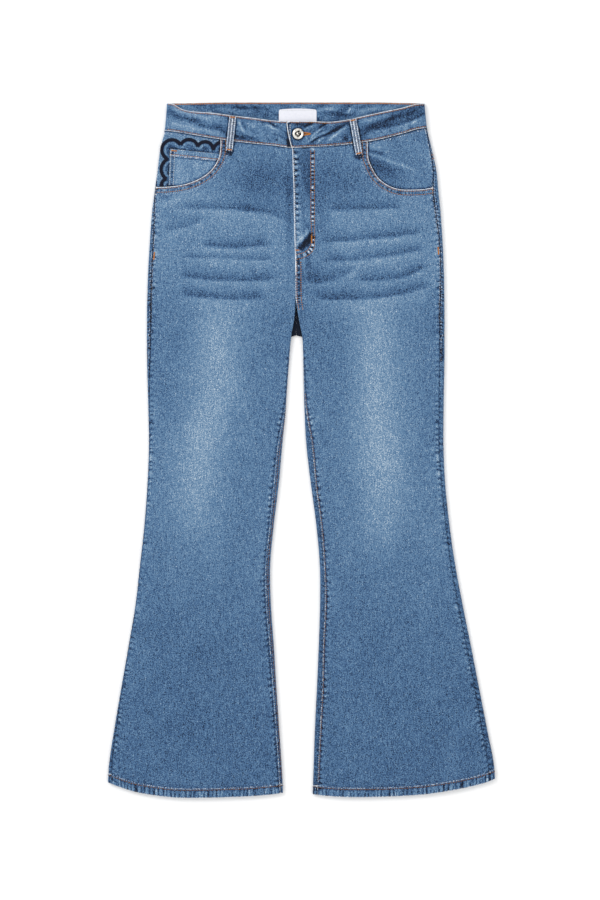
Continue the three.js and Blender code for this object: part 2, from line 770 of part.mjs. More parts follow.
function add(name, geometry, finish) {
  const mesh = new THREE.Mesh(geometry, new THREE.MeshStandardMaterial(finish));
  mesh.name = name;
  jeans.add(mesh);
}

for (const side of ["right", "left"]) {
  add(`front_${side}`, frontPanel(side), DENIM);
  add(`back_${side}`, backPanel(side), DENIM);
  add(`yoke_${side}`, yoke(side), DENIM);
  add(`back_pocket_${side}`, onUnderside(patchOutline(side, 0)), DENIM);
  add(`pocket_facing_${side}`, pocketFacing(side), DENIM_DARK);
  add(`waistband_front_${side}`, frontBand(side), DENIM);
  add(`belt_loop_front_${side}`, frontLoop(side), DENIM);
}
for (const [place, x] of Object.entries(BACK_LOOPS)) {
  add(`belt_loop_back_${place}`, onUnderside(backLoopOutline(x, 0)), DENIM);
}
add("waistband_back", backBand(), DENIM);
add("coin_pocket", onFacing([coinOutline(0)], FACING_WALL), DENIM);
add("scallop_border", scallopBorder(), EMBROIDERY);
add("label", label(), LABEL_CLOTH);
add("waist_button", button(), NICKEL);

export default jeans;
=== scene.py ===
# High-rise flared jeans in washed stretch denim, buttoned and laid on their back: the cloth, sewing and
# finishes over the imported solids. Tables are in millimetres, as in the part's source, and every mesh is
# turned to metres when it is made. "down" is measured from the top of the back waist.
import math

import bpy
import numpy as np
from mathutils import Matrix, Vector
from mathutils.bvhtree import BVHTree
from mathutils.geometry import delaunay_2d_cdt
from mathutils.kdtree import KDTree


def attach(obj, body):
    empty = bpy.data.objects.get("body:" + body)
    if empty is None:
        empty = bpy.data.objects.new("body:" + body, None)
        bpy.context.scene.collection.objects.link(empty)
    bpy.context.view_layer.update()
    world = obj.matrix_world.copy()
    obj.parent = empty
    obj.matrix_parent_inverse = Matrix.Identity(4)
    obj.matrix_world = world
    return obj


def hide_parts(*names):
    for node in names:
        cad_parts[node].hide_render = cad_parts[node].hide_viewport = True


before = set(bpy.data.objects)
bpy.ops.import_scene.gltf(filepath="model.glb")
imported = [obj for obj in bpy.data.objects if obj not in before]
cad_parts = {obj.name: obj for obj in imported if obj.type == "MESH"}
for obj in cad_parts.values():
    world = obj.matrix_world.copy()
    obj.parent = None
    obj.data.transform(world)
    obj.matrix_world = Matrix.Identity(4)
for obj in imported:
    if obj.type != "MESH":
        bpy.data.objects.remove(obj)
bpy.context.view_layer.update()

MM = 0.001

# ---------------------------------------------------------------- sizes, as in the part's source
LENGTH = 1077.0
TOP_Y = LENGTH / 2
SEAM_GAP = 0.3
HALF_GAP = SEAM_GAP / 2
BEYOND = 60.0  # how far the body runs on past the middle of each half
CLOTH = 1.4
BAND_WALL = 2.2
BACK_BAND_WALL = 2.6
BAND_PROUD = BAND_WALL - CLOTH
TORSO_FOLD = 3.2
BAND_FOLD = TORSO_FOLD + BAND_PROUD / 2
LEG_FOLD = 2.8
HEM_FOLD = 3.1
TORSO_CROWN = 1.0
LEG_CROWN = 0.9
FORK = 300.0
CROTCH = 364.0
HEM_DEPTH = 15.5
HEM_BEND = 850.0
CENTRE_BACK = -8.2
FACING_DEPTH = CLOTH + SEAM_GAP
FACING_WALL = 1.2
FACING_TUCK = 14.0
FACING_SLOPE = 14.0
FACING_TOP = 46.0
FACING_FOOT = 148.0
MOUTH_SIDE = {"right": 130.5, "left": 129.5}
FLY_LAP = 10.0
FLY_LIFT = FACING_DEPTH
FLY_FLAT = 12.0
FLY_RAMP = 24.0
FLY_END = 262.0
BAND_LAP_FROM = -20.5
BAND_UNDER_TO = 4.0
BAND_LIFT = BAND_WALL + SEAM_GAP
BAND_FLAT_TO = 9.0
BAND_RAMP = 26.0
BUTTON = (-5.3, 49.1)
BUTTON_RADIUS = 8.6
SHANK_RADIUS = 2.4
EYELET_RADIUS = 3.2
SLIT_LENGTH = 15.0
SLIT_WIDTH = 1.2
LOOP_WIDTH = 11.2
LOOP_WALL = 1.6
FRONT_LOOPS = {
    "right": ((-106.3, 21.2), (-112.1, 75.5)),
    "left": ((79.6, 25.9), (89.3, 81.2)),
}
BACK_LOOPS = {"right": -118.0, "centre": CENTRE_BACK, "left": 101.0}
BACK_LOOP_TOP = 2.5
BACK_LOOP_LENGTH = 52.0
PATCH = {"width": 148.0, "foot": 132.0, "side": 132.0, "point": 152.0}
PATCH_INSET = 28.0
PATCH_DOWN = 145.0
COIN = {"left": -203.5, "left_foot": -206.5, "top": 72.0, "right": -112.0, "right_top": 81.5,
        "height": 74.0}
SCALLOP_WIDTH = 6.0
# From cusp to cusp of the scalloped border: x, down, and the arc's height as a share of its chord
SCALLOPS = [
    (-215, 134, 0), (-209.1, 118.8, 0.3), (-207.4, 87.9, 0.3), (-187.2, 65.7, 0.68),
    (-160.7, 68.5, 0.36), (-136.7, 74.1, 0.42), (-120, 61, 0.2),
]
LABEL = {"left": -35.0, "right": 23.3, "top": 9.5, "foot": 42.0, "bow": 1.6}
INTO = {"right": 1.0, "left": -1.0}


def measures(columns, rows):
    """A table of measures with a smooth curve through its rows. Its first column is the key."""
    table = np.array(rows, float)
    key = table[:, 0]
    after = np.minimum(np.arange(len(key)) + 1, len(key) - 1)
    before = np.maximum(np.arange(len(key)) - 1, 0)
    slopes = (table[after] - table[before]) / (key[after] - key[before])[:, None]

    def read(column, at):
        k = columns.index(column)
        at = np.clip(at, key[0], key[-1])
        i = np.clip(np.searchsorted(key, at) - 1, 0, len(key) - 2)
        h = key[i + 1] - key[i]
        t = (at - key[i]) / h
        u = 1 - t
        start = table[i, k] * (1 + 2 * t) + h * t * slopes[i, k]
        end = table[i + 1, k] * (1 + 2 * u) - h * u * slopes[i + 1, k]
        return start * u * u + end * t * t

    return read


OUTLINE_COLUMNS = ["down", "outer", "outseam", "inner", "inseam"]
OUTLINE = {
    "right": measures(OUTLINE_COLUMNS, [
        (0, -208.5, 0, -8.5, 12), (44, -212.4, 0, -7, 12), (74, -219.3, 0, -2.6, 12),
        (105, -223.2, 0, -1.4, 12), (136, -227.1, 0.8, -0.2, 12), (167, -231.3, 3.5, 0.1, 12),
        (213, -234.8, 5.5, 1.2, 12), (260, -237.6, 6, 2.4, 12), (300, -239.1, 6.2, 0.7, 10),
        (322, -239.5, 6.2, -3.6, 6.2), (345, -239.6, 6.2, -10.4, 2), (364, -239.6, 6, -15.5, 0),
        (407, -239.2, 4.5, -19.4, 0), (469, -237.5, 2, -24, 0.3), (531, -236.4, 0.8, -29.8, 5.5),
        (593, -238.8, 0.8, -35.3, 6.5), (655, -243.4, 0.8, -42.9, 5), (717, -250.3, 0.8, -48.4, 6),
        (779, -257.3, 0.8, -47.3, 6), (841, -267.7, 0.8, -42.9, 5.3), (903, -278.5, 1.5, -39, 4.5),
        (965, -289.1, 3, -34.9, 4), (1027, -298.4, 5, -30.7, 4), (1077, -300.7, 5, -27.9, 4),
    ]),
    "left": measures(OUTLINE_COLUMNS, [
        (0, 190.5, 1, -32.5, 12), (44, 195.4, 1.5, -31, 12), (74, 202.3, 3, -26.6, 12),
        (105, 208.9, 5, -25.4, 12), (136, 212.2, 8.5, -24.2, 12), (167, 215.3, 8, -23.9, 12),
        (213, 218.5, 5, -22.8, 12), (260, 220.7, 5.2, -21.6, 12), (300, 221.4, 6.5, -19.2, 10),
        (322, 221.6, 7.5, -12.7, 6.2), (345, 221.7, 7.5, -4.5, 2), (364, 221.7, 7.5, 0.8, 0),
        (407, 221.5, 7.5, 2.6, 0), (469, 220.4, 7.3, 4.3, 1.5), (531, 220.1, 7, 7.4, 8.5),
        (593, 223, 6, 14.7, 7), (655, 229.4, 6, 22.9, 7), (717, 238.4, 7, 28.2, 6.5),
        (779, 249.9, 7, 28.7, 7.5), (841, 262.4, 7, 26.7, 6.7), (903, 274.4, 7, 24, 8),
        (965, 286.6, 8, 20.9, 8), (1027, 298.4, 9, 18.8, 7), (1077, 300.7, 9, 17, 7),
    ]),
}
WAIST = measures(["x", "top", "seam"], [
    (-216, 1.7, 43.5), (-200, 2.2, 45), (-186, 10.2, 47), (-171, 14, 49.7), (-139, 16.4, 55.2),
    (-104, 21, 60.3), (-72, 24.8, 64), (-42, 28.6, 67), (-17, 29.6, 70.3), (14, 29.5, 69.2),
    (45, 30.4, 67.4), (70, 27.3, 65.1), (101, 20.4, 61), (125, 15.1, 56.4), (156, 8.6, 48.5),
    (180, 2.4, 41.4), (200, 2.3, 38.8),
])
SEAT = measures(["x", "waist", "yoke"], [
    (-225, 43.5, 88), (-115, 43, 104), (CENTRE_BACK, 42.5, 123), (98, 41.3, 104), (212, 39.6, 88),
])
HEM_EDGE = measures(["share", "right", "left"], [
    (0, 1053.5, 1048), (0.05, 1058.7, 1053.4), (0.16, 1068.1, 1061.3), (0.28, 1073.7, 1067.6),
    (0.4, 1077, 1072.2), (0.6, 1076.8, 1075.4), (0.8, 1074.9, 1076.2), (0.93, 1072.1, 1074),
    (1, 1069.6, 1071.8),
])
MOUTH = {
    "right": [(-126, 20), (-125.6, 72), (-132.5, 95), (-149, 113), (-175.5, 125.6), (-205, 130.7),
              (-245, 131.5)],
    "left": [(102.5, 20), (102.7, 77), (106.6, 96), (121.4, 119.7), (148, 134), (184.6, 135),
             (202, 132.4), (245, 127)],
}


def smooth(start, end, value):
    t = np.clip((value - start) / (end - start), 0, 1)
    return t * t * (3 - 2 * t)


def mix(a, b, t):
    return a + (b - a) * t


def waist_top(x):
    return WAIST("top", x)


def waist_seam(x):
    return WAIST("seam", x)


def back_top(x):
    return 1.5 * smooth(110, 205, np.abs(x))


def back_waist(x):
    return SEAT("waist", x)


def yoke_seam(x):
    return SEAT("yoke", x)


def noise(x, y, seed=0):
    """Smooth uneven waves between -1 and 1, the same on every run."""
    i, j = np.floor(x).astype(np.int64), np.floor(y).astype(np.int64)
    fx, fy = x - i, y - j

    def corner(a, b):
        n = (a * 374761393 + b * 668265263 + seed * 974634777) & 0xFFFFFFFF
        n = ((n ^ (n >> 13)) * 1274126177) & 0xFFFFFFFF
        return ((n ^ (n >> 16)) & 0xFFFF) / 32767.5 - 1

    sx, sy = fx * fx * (3 - 2 * fx), fy * fy * (3 - 2 * fy)
    upper = mix(corner(i, j), corner(i + 1, j), sx)
    lower = mix(corner(i, j + 1), corner(i + 1, j + 1), sx)
    return mix(upper, lower, sy)


def resample(line, step):
    """Points at even steps along a line, with both its ends."""
    line = np.array(line, float)
    run = np.concatenate([[0], np.cumsum(np.linalg.norm(np.diff(line, axis=0), axis=1))])
    at = np.linspace(0, run[-1], max(1, int(round(run[-1] / step))) + 1)
    return np.column_stack([np.interp(at, run, line[:, k]) for k in range(line.shape[1])])


def spline(points, steps=40):
    """A smooth line through points, as the pocket mouths are cut in the source."""
    p = np.array(points, float)
    p = np.vstack([2 * p[0] - p[1], p, 2 * p[-1] - p[-2]])
    p[0], p[-1] = p[1], p[-2]
    out = []
    for k in range(1, len(p) - 2):
        t = np.linspace(0, 1, steps, endpoint=False)[:, None]
        a, b = (p[k + 1] - p[k - 1]) / 2, (p[k + 2] - p[k]) / 2
        out.append((2 * p[k] - 2 * p[k + 1] + a + b) * t**3
                   + (-3 * p[k] + 3 * p[k + 1] - 2 * a - b) * t**2 + a * t + p[k])
    return np.vstack([*out, p[-2:-1]])


def beside(line, x, down):
    """Distance of places from a line, positive below it or on its right, and their share of its length."""
    line = np.array(line, float)
    legs = np.hypot(*np.diff(line, axis=0).T)
    run = np.concatenate([[0], np.cumsum(legs)])
    nearest, signed, share = np.full(x.shape, 1e9), np.zeros(x.shape), np.zeros(x.shape)
    for k, leg in enumerate(legs):
        tx, td = (line[k + 1] - line[k]) / leg
        s = np.clip((x - line[k, 0]) * tx + (down - line[k, 1]) * td, 0, leg)
        gx, gd = x - line[k, 0] - tx * s, down - line[k, 1] - td * s
        gap = np.hypot(gx, gd)
        closer = gap < nearest
        nearest = np.where(closer, gap, nearest)
        signed = np.where(closer, np.where(tx * gd - td * gx < 0, -gap, gap), signed)
        share = np.where(closer, (run[k] + s) / run[-1], share)
    return signed, share


# ---------------------------------------------------------------- the form that the cloth lies on
def crown(side, x, down):
    """Rise of the upper layer over its folds."""
    def dome(start, end):
        t = np.clip(2 * (x - start) / (end - start) - 1, -1, 1)
        return 1 - t**4

    body = dome(OUTLINE["right"]("outer", down), OUTLINE["left"]("outer", down))
    leg = dome(OUTLINE[side]("outer", down), OUTLINE[side]("inner", down))
    return mix(TORSO_CROWN * body, LEG_CROWN * leg, smooth(FORK, CROTCH + 60, down))


def fold_radius(down):
    return mix(TORSO_FOLD, LEG_FOLD, smooth(CROTCH - 20, CROTCH + 60, down))


class Section:
    """The flattened tube of cloth at some heights, between its outer and its inner fold."""

    def __init__(self, side, down, radius, beyond=0.0):
        self.outer = OUTLINE[side]("outer", down)
        self.into = INTO[side]
        self.width = np.abs(OUTLINE[side]("inner", down) - self.outer)
        self.flat_width = self.width + beyond
        self.radius = radius
        self.quarter = math.pi * radius / 2
        self.length = self.flat_width + 2 * (self.quarter - radius)

    def along(self, inset):
        r = self.radius
        round_part = r * np.arccos(np.clip(1 - np.maximum(inset, 0) / r, -1, 1))
        return np.where(inset >= r, self.quarter + inset - r, round_part)

    def along_to(self, x):
        return self.along(np.abs(x - self.outer))

    def contour(self, c, under):
        """x, height and outward normal of places along the contour, which wrap round either fold."""
        past = 2 * self.length - c
        along = np.where(c < 0, -c, np.where(c > self.length, past, c))
        layer = np.where(along == c, 1.0, -1.0) * (-1.0 if under else 1.0)
        r, q = self.radius, self.quarter
        first, last = along < q, along > self.length - q
        angle = np.where(first, along, self.length - along) / r
        bent = first | last
        x = np.where(bent, r - r * np.cos(angle), r + along - q)
        x = np.where(last, self.flat_width - x, x)
        nx = np.where(bent, np.where(first, -1, 1) * np.cos(angle), 0.0)
        nz = np.where(bent, np.sin(angle), 1.0)
        return self.outer + self.into * x, r + layer * r * nz, self.into * nx, layer * nz


def stack(*columns):
    return np.column_stack(np.broadcast_arrays(*columns))


def fly_lift(x, down):
    edge = OUTLINE["left"]("inner", down) + OUTLINE["left"]("inseam", down)
    taper = 1 - smooth(FLY_END + 4, FORK, down)
    return FLY_LIFT * taper * (1 - smooth(FLY_FLAT, FLY_FLAT + FLY_RAMP, x - edge))


def band_lift(x):
    return BAND_LIFT * (1 - smooth(BAND_FLAT_TO, BAND_FLAT_TO + BAND_RAMP, x))


def front_ends(side):
    def ends(section, down):
        lap = FLY_LAP * (1 - smooth(FLY_END - 22, FLY_END - 2, down)) if side == "right" else 0
        inset = np.maximum(0, OUTLINE[side]("inseam", down) - lap)
        start = section.along(OUTLINE[side]("outseam", down)) + HALF_GAP
        return start, section.length - section.along(inset) - HALF_GAP

    return ends


def back_ends(side):
    """From the outseam round the outer fold and underneath, to the seat seam or to the inseam."""
    def seat(down):
        section = Section(side, down, fold_radius(down), BEYOND)
        return section.along_to(CENTRE_BACK) - HALF_GAP

    def flat(down):
        section = Section(side, down, fold_radius(down))
        return section.length - section.quarter

    def inseam(down):
        section = Section(side, down, fold_radius(down))
        return section.length + section.along(OUTLINE[side]("inseam", down)) - HALF_GAP

    def ends(section, down):
        start = -section.along(OUTLINE[side]("outseam", down)) + HALF_GAP
        upper = mix(seat(CROTCH - 3), flat(CROTCH), np.clip((down - CROTCH + 3) / 3, 0, 1))
        lower = mix(flat(CROTCH), inseam(CROTCH + 12), np.clip((down - CROTCH) / 12, 0, 1))
        turn = np.where(down < CROTCH, upper, lower)
        on_leg = section.length + section.along(OUTLINE[side]("inseam", down)) - HALF_GAP
        end = np.where(down <= CROTCH - 3, seat(down), np.where(down >= CROTCH + 12, on_leg, turn))
        return start, end

    return ends


EDGE_STEP = 2.0
SHELL_WALL, HEM_SHELL = 1.2, 2.0  # thickness of a panel's shell, and of its turned-up hem


class Tube:
    """Places of a panel that runs round one half of the jeans. Across is measured from its middle."""

    def __init__(self, side, ends, under=False, lift=None):
        self.side, self.ends, self.under, self.lift = side, ends, under, lift

    def section(self, down, station):
        hem = smooth(LENGTH - HEM_DEPTH - 1, LENGTH - HEM_DEPTH, station)
        beyond = np.where(station < CROTCH - 1, BEYOND, 0.0) if self.under else 0.0
        return Section(self.side, down, fold_radius(down) + (HEM_FOLD - LEG_FOLD) * hem, beyond)

    def width(self, station):
        start, end = self.ends(self.section(station, station), station)
        return end - start

    def place(self, places):
        across, station = places.T
        share = across / self.width(station) + 0.5
        bend = smooth(HEM_BEND, LENGTH - HEM_DEPTH, station)
        down = station
        for _ in range(5):
            section = self.section(down, station)
            start, end = self.ends(section, down)
            x, z, nx, nz = section.contour(mix(start, end, share), self.under)
            hem_share = np.abs(x - section.outer) / section.width
            down = station + bend * (HEM_EDGE(self.side, hem_share) - LENGTH)
        rise = crown(self.side, x, down)
        if self.lift is not None:
            rise = rise + self.lift(x, down)
        z = z + np.maximum(0, nz) * rise
        return stack(x, down, z), stack(nx, 0, nz)

    def find(self, x, down):
        """The place on the cloth of a point of the upper face, above where the hem bends."""
        section = self.section(down, down)
        start, end = self.ends(section, down)
        return stack(section.along_to(x) - (start + end) / 2, down)

    def edge_across(self, line, gap):
        """The edge along a seam that crosses the panel, from its start to its end."""
        share = np.linspace(0, 1, 120)
        down = np.full(share.shape, float(line(0.0)))
        for _ in range(8):
            section = self.section(down, down)
            start, end = self.ends(section, down)
            x = section.contour(mix(start, end, share), self.under)[0]
            down = line(x) + gap
        return resample(stack((share - 0.5) * self.width(down), down), EDGE_STEP)

    def edge_down(self, share, start, end):
        """An edge that runs down the panel, at a share of its width."""
        station = np.append(np.arange(start, end, EDGE_STEP), end)
        return stack((share - 0.5) * self.width(station), station)


# ---------------------------------------------------------------- cutting a piece of cloth
RINGS = (0.7, 1.4, 2.1, 2.9, 3.9, 5.2, 6.8, 8.6, 11.0)


class Edge:
    """One edge of a piece as cut: how far places are from it, and how far along it they are."""

    def __init__(self, line):
        line = np.array(line, float)
        apart = np.linalg.norm(np.diff(line, axis=0), axis=1) > 1e-6
        self.line = line[np.concatenate([[True], apart])]
        legs = np.diff(self.line, axis=0)
        self.run = np.concatenate([[0], np.cumsum(np.linalg.norm(legs, axis=1))])
        way = np.gradient(self.line, axis=0)
        self.way = way / np.linalg.norm(way, axis=1)[:, None]
        self.tree = KDTree(len(self.line))
        for k, (x, y) in enumerate(self.line):
            self.tree.insert((x, y, 0.0), k)
        self.tree.balance()

    def measure(self, places):
        found = [self.tree.find((x, y, 0.0))[1] for x, y in places]
        off = places - self.line[found]
        ahead = (off * self.way[found]).sum(axis=1)
        inside = (np.array(found) > 0) & (np.array(found) < len(self.line) - 1)
        aside = np.abs(off[:, 0] * self.way[found][:, 1] - off[:, 1] * self.way[found][:, 0])
        return np.where(inside, aside, np.linalg.norm(off, axis=1)), self.run[found] + ahead


class Cut:
    """A piece as cut from flat cloth, in named edges that go round it, filled with points."""

    def __init__(self, edges, grid=(4.2, 3.6), rings=RINGS, holes=(), extra=None, dense=()):
        self.edges = {name: Edge(line) for name, line in edges}
        outline = np.vstack([line[:-1] for _, line in edges])
        count = len(outline)
        tree = KDTree(count)
        for k, (x, y) in enumerate(outline):
            tree.insert((x, y, 0.0), k)
        tree.balance()
        after, before = np.roll(outline, -1, axis=0), np.roll(outline, 1, axis=0)
        turn = np.sign((outline[:, 0] * after[:, 1] - outline[:, 1] * after[:, 0]).sum())
        way = after - before
        inward = np.column_stack([-way[:, 1], way[:, 0]]) * turn
        inward /= np.linalg.norm(inward, axis=1)[:, None]
        points = [outline, *holes]
        for depth in rings:
            ring = (outline + inward * depth)[::1 if depth < 6 else 2]
            points.append(ring[[tree.find((x, y, 0.0))[2] > depth * 0.86 for x, y in ring]])
        first = 0
        for name, line in edges:
            part = slice(first, first + len(line) - 1)
            first += len(line) - 1
            for depth in (extra or {}).get(name, ()):
                ring = outline[part] + inward[part] * depth
                points.append(ring[[tree.find((x, y, 0.0))[2] > depth * 0.86 for x, y in ring]])
        low, high = outline.min(axis=0), outline.max(axis=0)
        reach = rings[-1] + 0.55 * grid[0]
        boxes = [(*low, *high, *grid, reach), *dense]
        for n, (x0, y0, x1, y1, across, along, clear) in enumerate(boxes):
            for k, y in enumerate(np.arange(y0 + along / 2, y1, along)):
                xs = [x for x in np.arange(x0 + across * (0.25 + 0.5 * (k % 2)), x1, across)
                      if tree.find((x, y, 0.0))[2] > clear
                      and (n or not any(b[0] < x < b[2] and b[1] < y < b[3] for b in dense))]
                if xs:
                    points.append(stack(xs, y))
        loops, start = [list(range(count))], count
        for hole in holes:
            loops.append(list(range(start, start + len(hole))))
            start += len(hole)
        every = [Vector(p) for p in np.vstack(points)]
        verts, _, faces, _, _, of_face = delaunay_2d_cdt(every, [], loops, 1, 1e-4)
        kept = [f for f, src in zip(faces, of_face) if not any(s > 0 for s in src)]
        used, index = np.unique(np.array(kept), return_inverse=True)
        self.places = np.array([tuple(v) for v in verts])[used]
        self.faces = index.reshape(-1, 3)
        self.measured = {}

    def gap(self, name):
        """Distance of every point from a named edge, and its run along that edge."""
        if name not in self.measured:
            self.measured[name] = self.edges[name].measure(self.places)
        return self.measured[name]


def make_mesh(name, points, faces, finish, **attributes):
    """A mesh object from points in millimetres across, down and up."""
    points = np.asarray(points)
    metres = np.column_stack([points[:, 0], TOP_Y - points[:, 1], points[:, 2]]) * MM
    mesh = bpy.data.meshes.new(name)
    mesh.from_pydata(metres.tolist(), [], np.asarray(faces).tolist())
    for key, values in attributes.items():
        mesh.attributes.new(key, "FLOAT", "POINT").data.foreach_set("value", np.asarray(values, float))
    mesh.materials.append(finish)
    mesh.shade_smooth()
    mesh.set_sharp_from_angle(angle=math.radians(55))
    obj = bpy.data.objects.new(name, mesh)
    bpy.context.scene.collection.objects.link(obj)
    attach(obj, "root")
    return obj


class Cloth:
    """A finished piece of cloth: a thin wall with relief and wear, that sewing can be laid on."""

    def __init__(self, name, cut, place, wall, finish, relief, tone, worn, inner_tone,
                 round_edges=0.45):
        self.cut, self.place = cut, place
        points, normals = place(cut.places)
        nearest = np.min([cut.gap(edge)[0] for edge in cut.edges], axis=0)
        height = relief - round_edges * np.exp(-((nearest / 0.8) ** 2))
        points = points + normals * height[:, None]
        wall = np.broadcast_to(wall, height.shape)
        back = points - normals * wall[:, None]
        n = len(points)
        faces = self.turned_out(points, normals, cut.faces)
        directed = np.vstack([faces[:, [0, 1]], faces[:, [1, 2]], faces[:, [2, 0]]])
        edges = {(a, b) for a, b in directed.tolist()}
        rim = sorted((a, b) for a, b in edges if (b, a) not in edges)
        sides = [f for a, b in rim for f in ((b, a, a + n), (b, a + n, b + n))]
        every = np.vstack([faces, faces[:, ::-1] + n, np.array(sides)])
        both = np.vstack([points, back])
        tone = np.broadcast_to(tone, height.shape)
        worn = np.broadcast_to(worn, height.shape)
        self.object = make_mesh(
            name, both, every, finish,
            tone=np.concatenate([tone, np.full(n, inner_tone)]),
            worn=np.concatenate([worn, worn * 0.6]))
        self.tree = BVHTree.FromPolygons(both.tolist(), every.tolist())
        flat = cut.places[cut.faces]
        a, b = flat[:, 1] - flat[:, 0], flat[:, 2] - flat[:, 0]
        self.area = float(np.abs(a[:, 0] * b[:, 1] - a[:, 1] * b[:, 0]).sum() / 2) * MM**2
        size = cut.places.max(axis=0) - cut.places.min(axis=0)
        self.flat = (float(size[0]) * MM, float(size[1]) * MM)

    @staticmethod
    def turned_out(points, normals, faces):
        """Faces turned to look out. Down runs against Y, so before make_mesh they look in."""
        a, b, c = (points[faces[:, k]] for k in range(3))
        facing = np.cross(b - a, c - a)
        out = (facing * normals[faces[:, 0]]).sum()
        return faces if out < 0 else faces[:, ::-1]

    def along_edge(self, name, inset, start=0.0, end=None, step=1.0):
        """A line on the cloth beside one of its edges, at an inset from it."""
        edge = self.cut.edges[name]
        end = edge.run[-1] if end is None else end
        run = np.arange(start, end, step)
        line = np.column_stack([np.interp(run, edge.run, edge.line[:, k]) for k in (0, 1)])
        way = np.gradient(line, axis=0)
        way /= np.linalg.norm(way, axis=1)[:, None]
        aside = np.column_stack([-way[:, 1], way[:, 0]])
        middle = self.cut.places.mean(axis=0)
        near, step_in = line[len(line) // 2], aside[len(line) // 2]
        inward = 1.0 if np.linalg.norm(near + step_in - middle) < np.linalg.norm(near - middle) else -1.0
        return self.on_cloth(line + aside * inset * inward)

    def on_cloth(self, places):
        """The points of the finished cloth nearest to some places, and the normals there."""
        points, normals = self.place(np.array(places, float))
        found = [self.tree.find_nearest(Vector(p + 0.6 * n)) for p, n in zip(points, normals)]
        return np.array([tuple(f[0]) for f in found]), normals

    def lay(self, line, step=1.0, under=False):
        """A line of plan points dropped on the cloth from above, or raised against it from below."""
        points, normals = [], []
        for x, down in resample(line, step):
            start = Vector((x, down, -60.0 if under else 60.0))
            hit = self.tree.ray_cast(start, Vector((0, 0, 1.0 if under else -1.0)))[0]
            if hit is not None:
                points.append(tuple(hit))
                normals.append((0, 0, -1.0 if under else 1.0))
        return np.array(points), np.array(normals)


# ---------------------------------------------------------------- sewing
def stitch_form(length, width, height):
    """One stitch of thread, lying along x, with its ends drawn into the cloth."""
    rings = [(-0.34, 0.8, 0.12), (0.0, 1.0, 0.4), (0.34, 0.8, 0.12)]
    verts = [(-length / 2, 0.0, -0.35 * height)]
    for share, size, lift in rings:
        for k in range(6):
            angle = 2 * math.pi * k / 6
            verts.append((share * length, size * width / 2 * math.cos(angle),
                          height * (lift + 0.5 * size * math.sin(angle))))
    verts.append((length / 2, 0.0, -0.35 * height))
    faces = []
    for k in range(6):
        m = (k + 1) % 6
        faces.append((0, 1 + m, 1 + k))
        for ring in range(2):
            a, b = 1 + ring * 6, 7 + ring * 6
            faces += [(a + k, a + m, b + m), (a + k, b + m, b + k)]
        faces.append((13 + k, 13 + m, 19))
    return np.array(verts), np.array(faces)


def spaced(points, normals, pitch):
    """Centres, directions and normals at an even pitch along a line of points."""
    run = np.concatenate([[0], np.cumsum(np.linalg.norm(np.diff(points, axis=0), axis=1))])
    count = int(run[-1] // pitch)
    at = (np.arange(count) + 0.5) * run[-1] / max(count, 1)

    def read(values, where):
        return np.column_stack([np.interp(where, run, values[:, k]) for k in range(3)])

    return read(points, at), read(points, at + 0.5) - read(points, at - 0.5), read(normals, at)


PRESSED_FLAT = 0.03  # the lowest that thread goes, pressed against the surface below


def sewn(name, thread, *rows, length=2.5, gap=0.9, width=1.3, height=0.85, across=False):
    """Rows of stitches along lines on the cloth, as one piece. across lays satin threads over the line."""
    form, faces = stitch_form(length, width, height)
    points, triangles, start = [], [], 0
    for line, normals in rows:
        if len(line) < 3:
            continue
        centres, way, up = spaced(line, normals, gap if across else length + gap)
        if not len(centres):
            continue
        up = up / np.linalg.norm(up, axis=1)[:, None]
        way = way - up * (way * up).sum(axis=1)[:, None]
        way /= np.linalg.norm(way, axis=1)[:, None]
        aside = np.cross(up, way)
        if across:
            way, aside = aside, -way
        placed = (centres[:, None] + form[None, :, :1] * way[:, None]
                  + form[None, :, 1:2] * aside[:, None] + form[None, :, 2:] * up[:, None])
        placed[..., 2] = np.maximum(placed[..., 2], PRESSED_FLAT)
        points.append(placed.reshape(-1, 3))
        offsets = start + np.arange(len(centres)) * len(form)
        triangles.append((faces[None] + offsets[:, None, None]).reshape(-1, 3))
        start += len(centres) * len(form)
    return make_mesh(name, np.vstack(points), np.vstack(triangles)[:, ::-1], thread)


# ---------------------------------------------------------------- finishes
def linear(code):
    """An sRGB hex colour as the linear values that a shader takes."""
    values = [int(code[k:k + 2], 16) / 255 for k in (1, 3, 5)]
    return (*[v / 12.92 if v <= 0.04045 else ((v + 0.055) / 1.055) ** 2.4 for v in values], 1.0)


def add(tree, kind, inputs=None, **settings):
    """Adds a node with its settings. inputs holds values, or the outputs to link from."""
    made = tree.nodes.new(kind)
    for key, value in settings.items():
        setattr(made, key, value)
    for key, value in (inputs or {}).items():
        if isinstance(value, bpy.types.Node):
            value = value.outputs[0]
        if isinstance(value, bpy.types.NodeSocket):
            tree.links.new(value, made.inputs[key])
        else:
            made.inputs[key].default_value = value
    return made


GRAIN_TURN = (0.6, 0.4, 0.3)  # radians about each axis
WAVE_STEP = 0.314  # a wave pattern of scale 1 repeats after this length


def new_finish(name):
    finish = bpy.data.materials.new(name)
    finish.use_nodes = True
    tree = finish.node_tree
    tree.nodes.clear()
    surface = add(tree, "ShaderNodeBsdfPrincipled")
    add(tree, "ShaderNodeOutputMaterial", {"Surface": surface.outputs["BSDF"]})
    return finish, tree, surface


def grain(tree, size, detail=2.0, roughness=0.6):
    """Uneven cloudy grain of a size in millimetres across and along the legs. It is turned out of
    the cloth's own plane, so that its contrast stays even over flat and sloping cloth."""
    place = add(tree, "ShaderNodeTexCoord").outputs["Object"]
    scale = tuple(1 / (s * MM) for s in size)
    scaled = add(tree, "ShaderNodeMapping", {
        "Vector": place, "Scale": scale, "Rotation": GRAIN_TURN}).outputs[0]
    return add(tree, "ShaderNodeTexNoise", {
        "Vector": scaled, "Scale": 1.0, "Detail": detail, "Roughness": roughness}).outputs[0]


